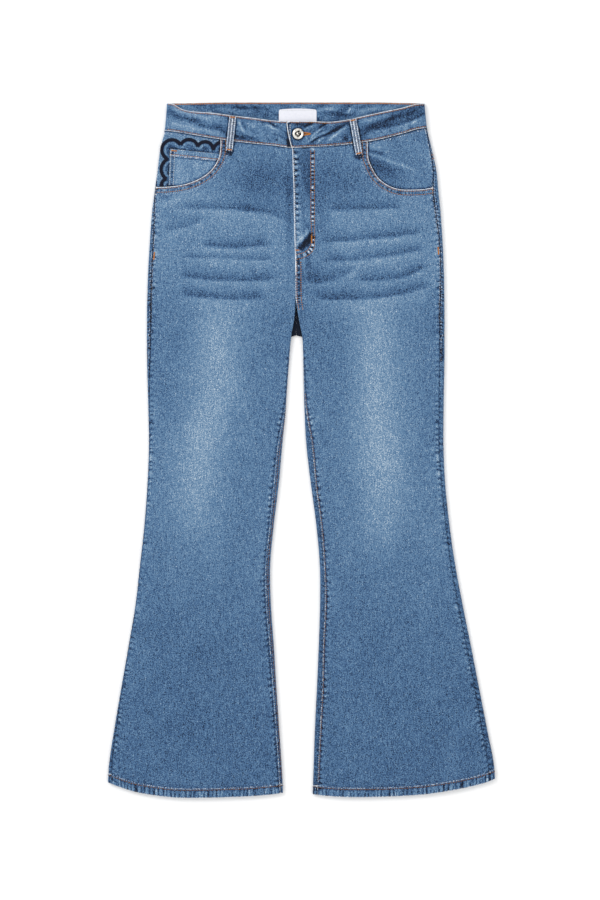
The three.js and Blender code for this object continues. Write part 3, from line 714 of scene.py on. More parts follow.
def ribs(tree, period, turn):
    """Even ribs at a period in millimetres, turned by an angle in degrees from the legs' length."""
    place = add(tree, "ShaderNodeTexCoord").outputs["Object"]
    turned = add(tree, "ShaderNodeMapping", {
        "Vector": place, "Rotation": (0.0, 0.0, math.radians(turn))}).outputs[0]
    return add(tree, "ShaderNodeTexWave", {
        "Vector": turned, "Scale": WAVE_STEP / (period * MM), "Distortion": 0.6, "Detail": 1.0,
        "Detail Scale": 2.0}, bands_direction="X").outputs["Fac"]


def washed_denim(name):
    """Stone-washed indigo twill of cotton with a little elastane. The wash leaves the raised threads and
    edges pale and the hollows dark, with upright slubs, and the surface is dull with a faint nap."""
    finish, tree, surface = new_finish(name)
    # the real yarn is 0.5 mm thick; its grain is drawn two to three times as coarse to show
    speckle = grain(tree, (1.08, 1.45, 1.2), 0.0)
    mottle = grain(tree, (4.0, 6.0, 4.0), 1.0)
    slub = grain(tree, (1.5, 12.0, 6.0), 1.0)
    cloud = grain(tree, (42.0, 60.0, 42.0), 2.0)
    # the real twill lines are 0.9 mm apart; they are drawn twice as coarse to show
    twill = ribs(tree, 1.9, 28.0)
    tone = add(tree, "ShaderNodeAttribute", attribute_name="tone").outputs["Fac"]
    for part, amount in ((speckle, SPECKLE), (mottle, MOTTLE), (slub, SLUB), (cloud, CLOUD), (twill, TWILL)):
        tone = add(tree, "ShaderNodeMath", {0: part, 1: amount, 2: tone}, operation="MULTIPLY_ADD")
    middle = (SPECKLE + MOTTLE + SLUB + CLOUD + TWILL) / 2
    tone = add(tree, "ShaderNodeMath", {0: tone, 1: middle}, operation="SUBTRACT")
    ramp = add(tree, "ShaderNodeValToRGB", {"Fac": tone})
    stops = ramp.color_ramp
    for k, (at, code) in enumerate(DENIM_WASH):
        stop = stops.elements[k] if k < 2 else stops.elements.new(at)
        stop.position, stop.color = at, linear(code)
    worn = add(tree, "ShaderNodeAttribute", attribute_name="worn").outputs["Fac"]
    rubbed = add(tree, "ShaderNodeMath", {0: speckle, 1: 1.2, 2: worn}, operation="MULTIPLY_ADD")
    edge = add(tree, "ShaderNodeMapRange", {"Value": rubbed, "From Min": 0.9, "From Max": 1.5},
               interpolation_type="SMOOTHSTEP")
    colour = add(tree, "ShaderNodeMix", {0: edge, 6: ramp, 7: linear(DENIM_RUBBED)}, data_type="RGBA")
    rough = add(tree, "ShaderNodeMapRange", {"Value": speckle, "To Min": 0.82, "To Max": 0.98})
    height = add(tree, "ShaderNodeMath", {0: twill, 1: 0.5, 2: speckle}, operation="MULTIPLY_ADD")
    bump = add(tree, "ShaderNodeBump", {"Height": height, "Strength": 0.55, "Distance": 0.35 * MM})
    tree.links.new(colour.outputs[2], surface.inputs["Base Color"])
    tree.links.new(rough.outputs[0], surface.inputs["Roughness"])
    tree.links.new(bump.outputs[0], surface.inputs["Normal"])
    surface.inputs["Specular IOR Level"].default_value = 0.18
    surface.inputs["Sheen Weight"].default_value = 0.12
    surface.inputs["Sheen Roughness"].default_value = 0.5
    return finish


def spun_thread(name, dark, pale):
    """Twisted sewing thread. Short slanting glints of its plies are painted into its colour, and wear greys
    it.
    """
    finish, tree, surface = new_finish(name)
    # the real ply twist is 0.3 mm; it is drawn at 0.6 mm to show
    ply = ribs(tree, 0.6, 40.0)
    wear = grain(tree, (2.5, 2.5, 2.5), 3.0, 0.7)
    both = add(tree, "ShaderNodeMath", {0: ply, 1: wear}, operation="ADD")
    share = add(tree, "ShaderNodeMapRange", {"Value": both, "From Min": 0.3, "From Max": 1.6})
    colour = add(tree, "ShaderNodeMix", {0: share, 6: linear(dark), 7: linear(pale)}, data_type="RGBA")
    bump = add(tree, "ShaderNodeBump", {"Height": ply, "Strength": 0.5, "Distance": 0.1 * MM})
    tree.links.new(colour.outputs[2], surface.inputs["Base Color"])
    tree.links.new(bump.outputs[0], surface.inputs["Normal"])
    surface.inputs["Roughness"].default_value = 0.6
    surface.inputs["Specular IOR Level"].default_value = 0.2
    return finish


def woven_label(name):
    """Damask label woven of fine polyester: near white, smooth, with a faint satin rib."""
    finish, tree, surface = new_finish(name)
    # the real ribs are 0.25 mm apart; they are drawn at 0.8 mm to show
    weft = ribs(tree, 0.8, 90.0)
    lint = grain(tree, (5.0, 3.0, 5.0), 3.0, 0.6)
    both = add(tree, "ShaderNodeMath", {0: weft, 1: lint}, operation="ADD")
    share = add(tree, "ShaderNodeMapRange", {"Value": both, "From Min": 0.3, "From Max": 1.6})
    colour = add(tree, "ShaderNodeMix", {0: share, 6: linear("#cfd1dc"), 7: linear("#e9e9ef")},
                 data_type="RGBA")
    bump = add(tree, "ShaderNodeBump", {"Height": weft, "Strength": 0.3, "Distance": 0.1 * MM})
    tree.links.new(colour.outputs[2], surface.inputs["Base Color"])
    tree.links.new(bump.outputs[0], surface.inputs["Normal"])
    surface.inputs["Roughness"].default_value = 0.55
    surface.inputs["Sheen Weight"].default_value = 0.2
    return finish


def nickel_plate(name):
    """Nickel-plated brass, tumbled: bright on the rolled rim, dull and dark down in the hollow."""
    finish, tree, surface = new_finish(name)
    tumble = grain(tree, (0.7, 0.7, 0.7), 4.0)
    tarnish = grain(tree, (3.6, 3.6, 3.6), 1.0)
    bright = add(tree, "ShaderNodeAttribute", attribute_name="tone").outputs["Fac"]
    stained = add(tree, "ShaderNodeMath", {0: tarnish, 1: 2.6, 2: bright}, operation="MULTIPLY_ADD")
    share = add(tree, "ShaderNodeMapRange", {"Value": stained, "From Min": 1.45, "From Max": 2.2})
    colour = add(tree, "ShaderNodeMix", {0: share, 6: linear("#1c1816"), 7: linear("#efebe3")},
                 data_type="RGBA")
    rough = add(tree, "ShaderNodeMapRange", {"Value": tumble, "To Min": 0.2, "To Max": 0.42})
    bump = add(tree, "ShaderNodeBump", {"Height": tumble, "Strength": 0.2, "Distance": 0.1 * MM})
    tree.links.new(colour.outputs[2], surface.inputs["Base Color"])
    tree.links.new(rough.outputs[0], surface.inputs["Roughness"])
    tree.links.new(bump.outputs[0], surface.inputs["Normal"])
    surface.inputs["Metallic"].default_value = 1.0
    return finish


def studio_card(name):
    """White studio card: matt, with a very faint tooth."""
    finish, tree, surface = new_finish(name)
    tooth = grain(tree, (3.0, 3.0, 3.0), 3.0, 0.6)
    colour = add(tree, "ShaderNodeMix", {0: tooth, 6: linear("#f7f7f7"), 7: linear("#fbfbfb")},
                 data_type="RGBA")
    tree.links.new(colour.outputs[2], surface.inputs["Base Color"])
    surface.inputs["Roughness"].default_value = 0.95
    surface.inputs["Specular IOR Level"].default_value = 0.1
    return finish


SPECKLE, MOTTLE, SLUB, CLOUD, TWILL = 1.12, 0.12, 0.4, 0.14, 0.06
# How far washed out, and the colour there
DENIM_WASH = [(0.0, "#0b1424"), (1.0, "#bccad5"), (0.25, "#304f77"), (0.5, "#547799"), (0.75, "#7591ab")]
DENIM_RUBBED = "#dfe4ea"

denim = washed_denim("washed_denim_twill")
tan_thread = spun_thread("tan_cotton_thread", "#693b16", "#c28a52")
brown_thread = spun_thread("brown_cotton_thread", "#3a2314", "#8d6238")
pale_thread = spun_thread("pale_cotton_thread", "#8f9aa8", "#e3e0d8")
orange_thread = spun_thread("orange_cotton_thread", "#86470f", "#d08a3c")
navy_thread = spun_thread("navy_rayon_thread", "#02040c", "#0d1530")
label_cloth = woven_label("woven_polyester_label")
nickel = nickel_plate("tumbled_nickel_plate")
card = studio_card("white_studio_card")

# ---------------------------------------------------------------- wash, whiskers and creases of the front
BASE_WASH = measures(["down", "tone"], [
    (0, 0.46), (60, 0.46), (130, 0.51), (200, 0.53), (260, 0.51), (330, 0.41), (400, 0.425), (560, 0.44),
    (700, 0.42), (850, 0.37), (1000, 0.34), (1077, 0.335),
])
FADE_COLUMNS = ["down", "middle", "amount"]
FADE = {
    "right": measures(FADE_COLUMNS, [
        (120, -120, 0.0), (220, -120, 0.02), (300, -126, 0.06), (350, -130, 0.21), (460, -133, 0.24),
        (530, -158, 0.25), (620, -163, 0.2), (690, -166, 0.08), (770, -166, 0.0),
    ]),
    "left": measures(FADE_COLUMNS, [
        (120, 110, 0.02), (220, 110, 0.03), (300, 112, 0.08), (350, 114, 0.23), (460, 116, 0.24),
        (530, 122, 0.25), (640, 124, 0.19), (700, 124, 0.06), (770, 126, 0.0),
    ]),
}
# Patches beside the fly, under the waistband and on the legs: x, down, half the width and height, and
# how much deeper the blue is. Below 0 it is paler.
# The narrow patch at x -19, down 170 is painted shade on the right front beside the fly's lapped edge.
DEEPER = [(-62, 122, 52, 36, 0.23), (66, 122, 52, 36, 0.18), (-19, 170, 6, 70, 0.22), (29, 170, 12, 62, 0.14),
          (14, 275, 22, 26, 0.1), (45, 395, 60, 60, 0.03), (-212, 146, 12, 4, 0.25), (2, 135, 12, 60, 0.15),
          (-180, 150, 36, 12, -0.13), (-170, 900, 60, 120, 0.03), (208, 640, 26, 70, -0.07)]
FADE_WIDTH = 40.0
# The lower rim of each whisker: how dark it is above, over what width, and how pale below, over what width
WHISKERS = [
    ([(-204, 162), (-174, 163.7), (-128, 164.6), (-79, 168.5), (-51, 172), (-30, 181), (-22, 192)],
     0.38, 8, 0.12, 12),
    ([(-212, 202), (-180, 193.6), (-146, 181)], 0.2, 11, 0.17, 6),
    ([(-160, 222), (-130, 224.5), (-103, 225.5), (-75, 224), (-44, 219)], 0.42, 9, 0.14, 8),
    ([(-185, 239.7), (-111, 242.4), (-36, 244.3)], 0.34, 4.5, 0.14, 9),
    ([(-198, 268), (-149, 275), (-97, 277), (-54, 275.8), (-31, 272.7)], 0.36, 9, 0.16, 12),
    ([(-195, 296.4), (-155, 302.4), (-112, 305), (-79, 304.6), (-51, 302.4)], 0.36, 10, 0.13, 22),
    ([(34.6, 167.6), (86.6, 166.2), (126, 164.6), (163, 163.7)], 0.36, 8, 0.12, 10),
    ([(24, 216.7), (71, 215.2), (117, 210.5), (157, 206.5), (194, 201.4)], 0.4, 8, 0.14, 9),
    ([(26, 246.5), (80, 245.3), (117, 241.2), (157, 235), (198, 226)], 0.36, 8, 0.16, 9),
    ([(-5, 276), (25, 281), (53, 275), (77, 262.6), (86, 256)], 0.24, 20, 0.16, 8),
    ([(78, 275.8), (117, 277), (157, 271.8), (191, 258), (202, 252)], 0.36, 9, 0.14, 9),
    ([(10, 301), (44, 306), (80, 305.5), (117, 303.3), (157, 297.2), (191, 287), (208, 280)],
     0.36, 10, 0.14, 22),
]
# Folds seen in the photo, in painted highlight and shade: where they run, how much paler or darker they are,
# and half their width
BAND_FOLDS = [
    ([(-207, 14), (-196, 19), (-185, 25), (-170, 28), (-150, 30)], -0.24, 4.0),
    ([(-205, 10), (-195, 15)], -0.15, 1.2),
    ([(-200, 10), (-190, 13), (-175, 18), (-160, 22), (-148, 25), (-135, 23), (-122, 24)], 0.16, 3.2),
    ([(-160, 35), (-145, 38), (-130, 40), (-120, 44), (-116, 49)], -0.27, 4.0),
    ([(-210, 36), (-190, 36), (-170, 40), (-155, 43), (-140, 45), (-130, 47), (-122, 50)], 0.17, 4.5),
    ([(-98, 30), (-95, 35), (-93, 40), (-90, 44)], 0.34, 2.2),
    ([(-93, 30), (-90, 35), (-86, 40)], -0.25, 2.6),
    ([(-104, 52), (-98, 54), (-90, 55)], -0.3, 3.5),
    ([(-81, 34), (-74, 35), (-66, 36)], 0.18, 3.5),
    ([(-64, 30), (-57, 32), (-52, 33)], -0.28, 2.6),
    ([(-56, 34), (-50, 36), (-44, 40), (-37, 42)], 0.38, 1.8),
    ([(-50, 31), (-44, 35), (-38, 39)], -0.38, 1.7),
    ([(-80, 42), (-72, 45), (-66, 48)], -0.16, 2.0),
    ([(-43, 49), (-34, 52), (-27, 55), (-22, 60), (-20, 65)], -0.34, 1.8),
    ([(-40, 55), (-33, 57), (-27, 60)], 0.14, 2.4),
    ([(-86, 54), (-76, 56), (-66, 57)], -0.2, 3.4),
    ([(-52, 58), (-50, 59)], -0.28, 2.2),
    ([(-39, 57), (-37, 58)], -0.28, 2.2),
    ([(-31, 42), (-27, 45), (-23, 49)], -0.2, 1.8),
    ([(-9, 33), (-2, 34), (4, 36)], -0.3, 3.2),
    ([(5, 38), (11, 35), (18, 31)], -0.45, 1.8),
    ([(7, 41), (15, 39), (22, 36)], 0.24, 2.4),
    ([(15, 55), (21, 49), (26, 45), (33, 39)], 0.46, 1.5),
    ([(27, 41), (33, 36), (39, 32)], -0.45, 1.8),
    ([(20, 54), (27, 48), (33, 44)], -0.2, 1.5),
    ([(11, 63), (17, 57), (23, 52), (30, 49), (37, 47), (44, 43)], 0.46, 1.6),
    ([(10, 65), (18, 60), (24, 56), (30, 53), (37, 51)], -0.5, 1.8),
    ([(37, 50), (46, 46), (54, 42), (62, 38), (71, 33)], -0.45, 3.2),
    ([(24, 64), (28, 59), (36, 55)], 0.4, 1.6),
    ([(41, 59), (48, 54), (52, 51), (58, 46), (64, 42), (69, 37)], 0.36, 2.4),
    ([(40, 36), (50, 34)], 0.14, 3.0),
    ([(7, 54), (10, 62)], 0.25, 1.6),
    ([(66, 54), (72, 60)], -0.24, 3.5),
    ([(92, 50), (100, 43), (110, 37), (125, 33), (140, 27), (155, 21), (175, 14), (190, 11)], -0.22, 5.2),
    ([(130, 28), (140, 25), (152, 20)], -0.22, 1.8),
    ([(108, 40), (125, 39), (140, 35), (155, 32), (170, 27), (190, 18)], -0.14, 3.4),
    ([(94, 30), (110, 27), (120, 23), (135, 19)], 0.2, 4.0),
    ([(104, 50), (115, 46), (125, 44), (140, 41), (155, 37), (165, 34), (173, 30), (181, 27), (191, 22)],
     0.2, 2.2),
    ([(110, 53), (130, 48), (150, 43), (180, 34), (192, 31)], 0.14, 4.0),
    ([(112, 47), (114, 49)], -0.25, 2.0), ([(122, 44), (124, 46)], -0.22, 1.8),
    ([(136, 43), (139, 45)], -0.35, 1.8), ([(154, 40), (156, 42)], -0.3, 1.8),
    ([(166, 36), (171, 41)], -0.28, 2.6), ([(171, 34), (177, 28)], 0.25, 1.5),
]
# Painted highlight and shade of folds on the inner face of the waistband's back, round the label
BACK_BAND_FOLDS = [
    ([(24, 12), (45, 10), (62, 12)], 0.32, 1.4), ([(70, 18), (74, 12), (78, 8)], 0.36, 1.3),
    ([(84, 14), (110, 10), (140, 9)], 0.26, 1.8), ([(30, 17), (60, 18), (85, 20)], -0.25, 2.2),
    ([(-50, 9), (-80, 8), (-110, 7)], -0.24, 2.5), ([(-60, 16), (-95, 13), (-140, 10)], 0.16, 1.8),
]
# Painted highlight and shade of folds on the left pocket facing
FACING_FOLDS = [
    ([(103, 79), (120, 85), (137, 91), (155, 97), (175, 106)], 0.24, 2.6),
    ([(105, 75), (116, 77), (128, 80)], -0.26, 2.4),
    ([(105, 68), (116, 69), (124, 71)], 0.14, 3.0),
    ([(106, 84), (116, 96), (130, 106), (150, 114)], -0.24, 12.0),
]


def folds(table, x, down):
    """Tone along folds that are drawn, each fading out at its ends."""
    total = np.zeros(x.shape)
    # each fold's tone is a painted highlight where it is paler and painted shade where it is darker
    for line, change, width in table:
        gap, share = beside(line, x, down)
        total += change * np.exp(-((gap / width) ** 2)) * (1 - 0.5 * (2 * share - 1) ** 4)
    return total


def loop_shadow(x, down):
    """A painted shadow on the cloth under and close beside the belt loops, fading out away from their edges.
    """
    total = np.zeros(x.shape)
    for line in FRONT_LOOPS.values():
        past = np.maximum(0, np.abs(beside(line, x, down)[0]) - LOOP_WIDTH / 2)
        total += np.exp(-((past / 1.8) ** 2))
    return total


def creases(table, x, down, taper, softness):
    """Tone of worn creases, dark above each rim and pale below it, that fade out at their ends."""
    total = np.zeros(x.shape)
    for line, dark, above, pale, below in table:
        gap, share = beside(line, x, down)
        ends = smooth(0, taper, share) * (1 - smooth(1 - taper, 1, share))
        under = 0.5 * (1 + np.tanh(gap / softness))
        shade = -dark * (1 - under) * np.exp(np.minimum(gap, 0) / above)
        light = pale * under * np.exp(-np.maximum(gap, 0) / below)
        total += ends * (shade + light)
    return total


def front_wash(side, x, down):
    """The fronts are faded down the thighs, and keep deeper blue beside the fly, with painted shade along the
    fly's lapped edge.
    """
    fade = FADE[side]
    column = np.exp(-(((x - fade("middle", down)) / FADE_WIDTH) ** 2))
    tone = BASE_WASH("tone", down) + fade("amount", down) * column
    for middle, height, wide, tall, depth in DEEPER:
        tone = tone - depth * np.exp(-(((x - middle) / wide) ** 2) - ((down - height) / tall) ** 2)
    return tone


def roping(run, gap, seed, period=7.0, reach=5.0, slant=0.35):
    """Puckers beside a seam: hollows at uneven steps along it, with fuller cloth between, dying away."""
    turn = (run + slant * gap) / period + 0.5 * noise(run / (1.6 * period), 0 * run, seed)
    size = 0.8 + 0.5 * noise(run / (2.3 * period), 0 * run, seed + 7)
    hollow = (0.5 + 0.5 * np.cos(2 * math.pi * turn)) ** 2
    return 1.5 * (0.38 - hollow) * size * np.exp(-gap / reach)


def hem_rope(run, seed, fine_seed):
    """The twisted ridges of a hem that shrank in the wash."""
    return roping(run, 0 * run, seed, 6.2, 1.0, 0.0) + 0.5 * noise(run / 1.7, 0 * run, fine_seed)


def line_of(gap, at, width):
    """1 on a line at a distance from an edge, and nothing beyond its width."""
    return np.exp(-(((gap - at) / width) ** 2))


def soft_waves(x, down, seed):
    """Low, wide unevenness of cloth that lies loose."""
    return (0.4 * noise(x / 75, down / 120, seed) + 0.25 * noise(x / 30, down / 48, seed + 1)
            + 0.1 * noise(x / 13, down / 20, seed + 2))


def mouth_line(side, inset=0.0):
    """The pocket mouth in plan, or a line beside it on the front."""
    line = resample(spline(MOUTH[side]), 1.0)
    way = np.gradient(line, axis=0)
    way /= np.linalg.norm(way, axis=1)[:, None]
    return line - INTO[side] * inset * np.column_stack([way[:, 1], -way[:, 0]])


# ---------------------------------------------------------------- the front panels
FLY_INNER_ROW = [(14.4, 74), (14.6, 130), (14.7, 180), (16.2, 206), (15.0, 220), (7.0, 231), (-8.6, 236.5)]
FLY_OUTER_ROW = [(20.0, 74), (20.1, 140), (20.2, 204), (19.2, 226), (11.0, 236.5), (0.0, 241.6),
                 (-8.2, 243.4)]
MOUTH_ROWS = (2.1, 8.0)


# Lines drawn beside the edges of a piece, and the change of tone, relief and wear that they bring
LINE_COLUMNS = ["edge", "at", "width", "where", "tone", "relief", "worn"]


def drawn_lines(cut, table, **where):
    """Tone, relief and wear of the lines of a table. where holds the parts of the piece that it names."""
    total = np.zeros((3, len(cut.places)))
    for row in table:
        line = dict(zip(LINE_COLUMNS, row))
        share = line_of(cut.gap(line["edge"])[0], line["at"], line["width"]) * where.get(line["where"], 1.0)
        total += np.outer([line["tone"], line["relief"], line["worn"]], share)
    return total


HEM_RINGS = (11.6, 12.8, 14.0, 15.2, 16.8)  # rows of points close together where the hem is sewn
# The darkening rows on the waist edge and at 0 on the side edge are painted shade: the shadow under the
# waistband's foot, partly dye left there, and the shade in the side seam's crevice.
FRONT_LINES = [
    ("waist", 0.4, 1.5, "all", -0.36, 0, 0), ("mouth", 5.0, 2.6, "all", -0.14, 0, 0),
    ("inner", 3.0, 1.1, "leg", -0.28, 0, 0), ("hem", 11.4, 1.0, "all", -0.2, 0, 0),
    ("hem", 15.8, 1.2, "all", -0.1, 0, 0), ("side", 0.0, 1.6, "all", -0.12, 0, 0),
    ("side", 0.0, 1.6, "hip", -0.33, 0, 0), ("hem", 12.2, 1.1, "all", 0, -0.3, 0),
    ("inner", 1.8, 0.9, "leg", 0, -0.3, 0), ("mouth", 0.1, 1.0, "all", 0, 0, 1.0),
    ("inner", 0.2, 1.0, "fly", 0, 0, 1.0), ("hem", 0.0, 1.1, "all", 0, 0, 0.5),
    ("hem", 13.8, 1.0, "all", 0, 0, 0.5), ("mouth", 10.6, 1.0, "all", 0, 0, 0.36),
    ("side", 0.9, 1.0, "hip", 0, 0, 0.42), ("inner", 0.2, 0.9, "leg", 0, 0, 0.55),
    *[("mouth", row, 0.8, "all", 0, -0.3, 0) for row in MOUTH_ROWS],
    *[("mouth", row, 1.0, "all", -0.2, 0, 0) for row in MOUTH_ROWS],
]


def front_cut(side, tube):
    """A front as cut: waist, inner edge, hem, outseam and pocket mouth."""
    line = mouth_line(side)
    line = line[line[:, 1] > waist_seam(line[:, 0]) + HALF_GAP]
    corner = np.array([[line[0, 0], waist_seam(line[0, 0]) + HALF_GAP]])
    mouth = tube.find(*np.vstack([corner, line]).T)
    share = mouth[:, 0] / tube.width(mouth[:, 1]) + 0.5
    mouth = mouth[:np.argmax(share <= 0.0) if (share <= 0).any() else len(share)]
    side_edge = tube.edge_down(0.0, MOUTH_SIDE[side], LENGTH)
    mouth = mouth[mouth[:, 0] > side_edge[0, 0] + 1.0]
    top_end = tube.edge_across(waist_seam, HALF_GAP)[-1]
    inner_edge = tube.edge_down(1.0, float(top_end[1]), LENGTH)
    fly_x = float(tube.place(inner_edge[:1])[0][0, 0])
    xs = np.linspace(corner[0, 0], fly_x, 120)[:-1]
    waist = np.vstack([tube.find(xs, waist_seam(xs) + HALF_GAP), top_end])
    half_hem = float(tube.width(np.array([LENGTH]))[0]) / 2
    hem = stack(np.linspace(half_hem, -half_hem, 200), LENGTH)
    mouth = np.vstack([side_edge[:1], resample(mouth[::-1], 1.6), waist[:1]])
    fly_edge = float(tube.width(np.array([160.0]))[0]) / 2
    return Cut([("waist", resample(waist, 2.0)), ("inner", inner_edge), ("hem", hem),
                ("side", side_edge[::-1]), ("mouth", mouth)],
               extra={"hem": HEM_RINGS, "mouth": (6.4, 8.6, 9.6)},
               dense=[(fly_edge - 38, 62, fly_edge + 4, 268, 2.0, 2.0, 8.0)])


FLY_DENT = [(-8, 226), (3, 214.5), (16, 200)]  # the fold over the foot of the fly
FLY_ROW_LENGTH = 190.0  # near enough for the steps of its puckers


def fly_marks(cut, x, down, fly):
    """Tone, relief and wear of the fly: beads between its rows, its pressed edge, its dent and the crotch."""
    inner_gap, inner_run = cut.gap("inner")
    (inner_row, row_run), (outer_row, _) = [
        beside(spline(row, 6), x, down) for row in (FLY_INNER_ROW, FLY_OUTER_ROW)]
    sewn_down = 1 - smooth(244, 246, down)
    near_row = np.minimum(np.abs(inner_row), np.abs(outer_row))
    within = ((inner_row * outer_row) < 0) * sewn_down
    dots = 1.5 * within * roping(row_run * FLY_ROW_LENGTH, np.abs(near_row - 3.0), 51, 7.2, 3.0, 0.0)
    edge_dots = 1.5 * fly * roping(inner_run, np.abs(inner_gap - 5.0), 53, 8.8, 2.6, 0.2)
    shield = fly * smooth(7, 9, inner_gap) * (outer_row * inner_row > 0) * (x < 15)
    dent, along = beside(FLY_DENT, x, down)
    ends = smooth(0, 0.1, along) * (1 - smooth(0.88, 1, along))
    crotch = smooth(244, 250, down) * (1 - smooth(305, 325, down))
    beads = crotch * roping(inner_run, np.abs(inner_gap - 5.4), 57, 6.0, 2.4, 0.2)
    tone = (0.8 * dots + 0.65 * edge_dots + 1.2 * beads - 0.08 * within
            # the darkening at 2.4 from the fly's edge, under the edge's row, is painted shade
            - 0.16 * line_of(near_row, 0.0, 1.0) * sewn_down - 0.3 * fly * line_of(inner_gap, 2.4, 0.8)
            + shield * (0.14 * noise(x / 4, down / 22, 55) - 0.12 * line_of(inner_gap, 23, 8))
            # the dent's tone: a painted highlight above its fold and painted shade below it
            + ends * (0.3 * line_of(dent, -4.0, 4.0) - 0.7 * line_of(dent, 3.2, 4.6)
                      - 0.3 * line_of(dent, 8.0, 4.5))
            - 0.3 * crotch * line_of(inner_gap, 5.4, 3.6))
    relief = (0.4 * (dots + edge_dots) - 0.3 * line_of(near_row, 0.0, 0.8) * sewn_down
              + 0.7 * line_of(dent, -3.0, 3.5) - 0.6 * line_of(dent, 2.5, 4.0))
    worn = (1.1 * np.maximum(0, dots - 0.15) + 0.7 * np.maximum(0, edge_dots - 0.15)
            + 1.6 * np.maximum(0, beads - 0.12) + 0.7 * crotch * line_of(inner_gap, 0.3, 1.0))
    return np.array([tone, relief, worn])


def front_panel(side):
    tube = Tube(side, front_ends(side), lift=fly_lift if side == "left" else None)
    cut = front_cut(side, tube)
    (mouth_gap, mouth_run), (side_gap, side_run) = cut.gap("mouth"), cut.gap("side")
    (inner_gap, inner_run), (hem_gap, hem_run) = cut.gap("inner"), cut.gap("hem")
    points, normals = tube.place(cut.places)
    x, down = points[:, 0], points[:, 1]
    flat = np.maximum(0, normals[:, 2]) ** 2
    fly = (1 - smooth(FLY_END - 10, FLY_END + 8, down)) * (side == "left")
    on_leg = smooth(CROTCH, CROTCH + 40, down)
    on_hip = 1 - smooth(300, 420, down)
    in_hem = 1 - smooth(10.6, 11.6, hem_gap)
    whiskers = creases(WHISKERS, x, down, 0.16, 1.7)
    side_marks = roping(side_run, np.abs(side_gap - 3.0), 3, 8.6, 3.6)
    leg_marks = on_leg * roping(inner_run, np.abs(inner_gap - 5.4), 11, 8.8, 2.8, 0.2)
    mouth_marks = 1.3 * roping(mouth_run, np.abs(mouth_gap - 5.0), 23, 6.0, 2.2, 0.8)
    rope = hem_rope(hem_run, 31, 33) * in_hem
    drawn = drawn_lines(cut, FRONT_LINES, leg=on_leg, hip=on_hip, fly=fly)
    if side == "left":
        drawn += fly_marks(cut, x, down, fly)
    tone, relief, worn = drawn
    relief = (relief + flat * (1.3 * whiskers + soft_waves(x, down, 40 + len(side)))
              + 0.4 * side_marks + 0.5 * leg_marks + 0.35 * mouth_marks + 0.3 * rope)
    # the belt loops' term in this tone is a painted shadow beside them
    tone = (tone + front_wash(side, x, down) + whiskers + 0.42 * (side_marks + mouth_marks + rope)
            + 0.5 * leg_marks + 0.03 * in_hem - 0.5 * loop_shadow(x, down))
    wall = mix(SHELL_WALL, HEM_SHELL, in_hem)
    piece = Cloth(f"front_panel_{side}", cut, tube.place, wall, denim, relief, tone, worn, 0.3)
    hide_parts(f"front_{side}")
    return piece


# ---------------------------------------------------------------- the back
def under_dents(x, down):
    """Rise of the back over the loops and patch pockets that it lies on."""
    total = np.zeros(x.shape)
    for side in INTO:
        gap = outline_gap(patch_outline(side), x, down)
        total = np.maximum(total, 1.3 * (1 - smooth(1.0, 16.0, gap)))
    for middle in BACK_LOOPS.values():
        gap = outline_gap(loop_outline(middle), x, down)
        total = np.maximum(total, 1.3 * (1 - smooth(1.0, 9.0, gap)))
    return total


def outline_gap(outline, x, down):
    """Distance outside a convex outline, 0 within it."""
    ring = np.array([*outline, outline[0]], float)
    gap, _ = beside(ring, x, down)
    middle = ring[:-1].mean(axis=0)
    sign = np.sign(beside(ring, middle[:1], middle[1:])[0][0])
    return np.maximum(0, -gap * sign)


def patch_outline(side):
    out = -1 if side == "right" else 1
    middle = CENTRE_BACK + out * (PATCH_INSET + PATCH["width"] / 2)
    half, foot = PATCH["width"] / 2, PATCH["foot"] / 2
    return [(middle - half, PATCH_DOWN), (middle + half, PATCH_DOWN),
            (middle + foot, PATCH_DOWN + PATCH["side"]), (middle, PATCH_DOWN + PATCH["point"]),
            (middle - foot, PATCH_DOWN + PATCH["side"])]


def loop_outline(middle):
    half, foot = LOOP_WIDTH / 2, BACK_LOOP_TOP + BACK_LOOP_LENGTH
    return [(middle - half, BACK_LOOP_TOP), (middle + half, BACK_LOOP_TOP), (middle + half, foot),
            (middle - half, foot)]


def back_wash(side, x, down):
    """The seat and the backs of the thighs are rubbed pale, the rest keeps more of its blue."""
    middle = -110 if side == "right" else 100
    seat = 0.16 * np.exp(-(((x - middle) / 60) ** 2) - (((down - 215) / 90) ** 2))
    thigh = 0.1 * np.exp(-(((x - middle * 1.15) / 45) ** 2) - (((down - 480) / 120) ** 2))
    knee = -0.08 * np.exp(-(((down - 640) / 16) ** 2)) - 0.06 * np.exp(-(((down - 672) / 12) ** 2))
    return BASE_WASH("tone", down) - 0.01 + seat + thigh + knee * 0.6


BACK_CREASES = [
    ([(-235, 640), (-180, 632), (-120, 636), (-60, 648)], 0.12, 10, 0.08, 9),
    ([(-228, 672), (-170, 668), (-110, 673), (-70, 680)], 0.1, 9, 0.07, 9),
    ([(-210, 356), (-150, 362), (-90, 368), (-40, 360)], 0.12, 12, 0.09, 10),
    ([(50, 640), (110, 634), (165, 633), (215, 645)], 0.12, 10, 0.08, 9),
    ([(55, 676), (105, 670), (160, 668), (218, 674)], 0.1, 9, 0.07, 9),
    ([(20, 360), (80, 369), (140, 363), (200, 355)], 0.12, 12, 0.09, 10),
]


def back_wall(down, nz):
    under = mix(2.3, 1.2, smooth(CROTCH + 10, CROTCH + 70, down))
    return mix(1.2, under, np.maximum(0, -nz))


# The darkening rows at 0 on the side edge are painted shade in the side seam's crevice.
BACK_LINES = [
    ("foot", 11.4, 1.0, "hem", -0.2, 0, 0), ("side", 0.0, 1.1, "all", -0.15, 0, 0),
    ("side", 0.0, 1.1, "hip", -0.35, 0, 0), ("side", 3.4, 0.8, "hip", -0.25, 0, 0),
    ("foot", 0.0, 1.1, "hem", 0, 0, 0.5), ("foot", 13.8, 1.0, "hem", 0, 0, 0.75),
    ("side", 1.9, 0.8, "hip", 0, 0, 0.42),
]


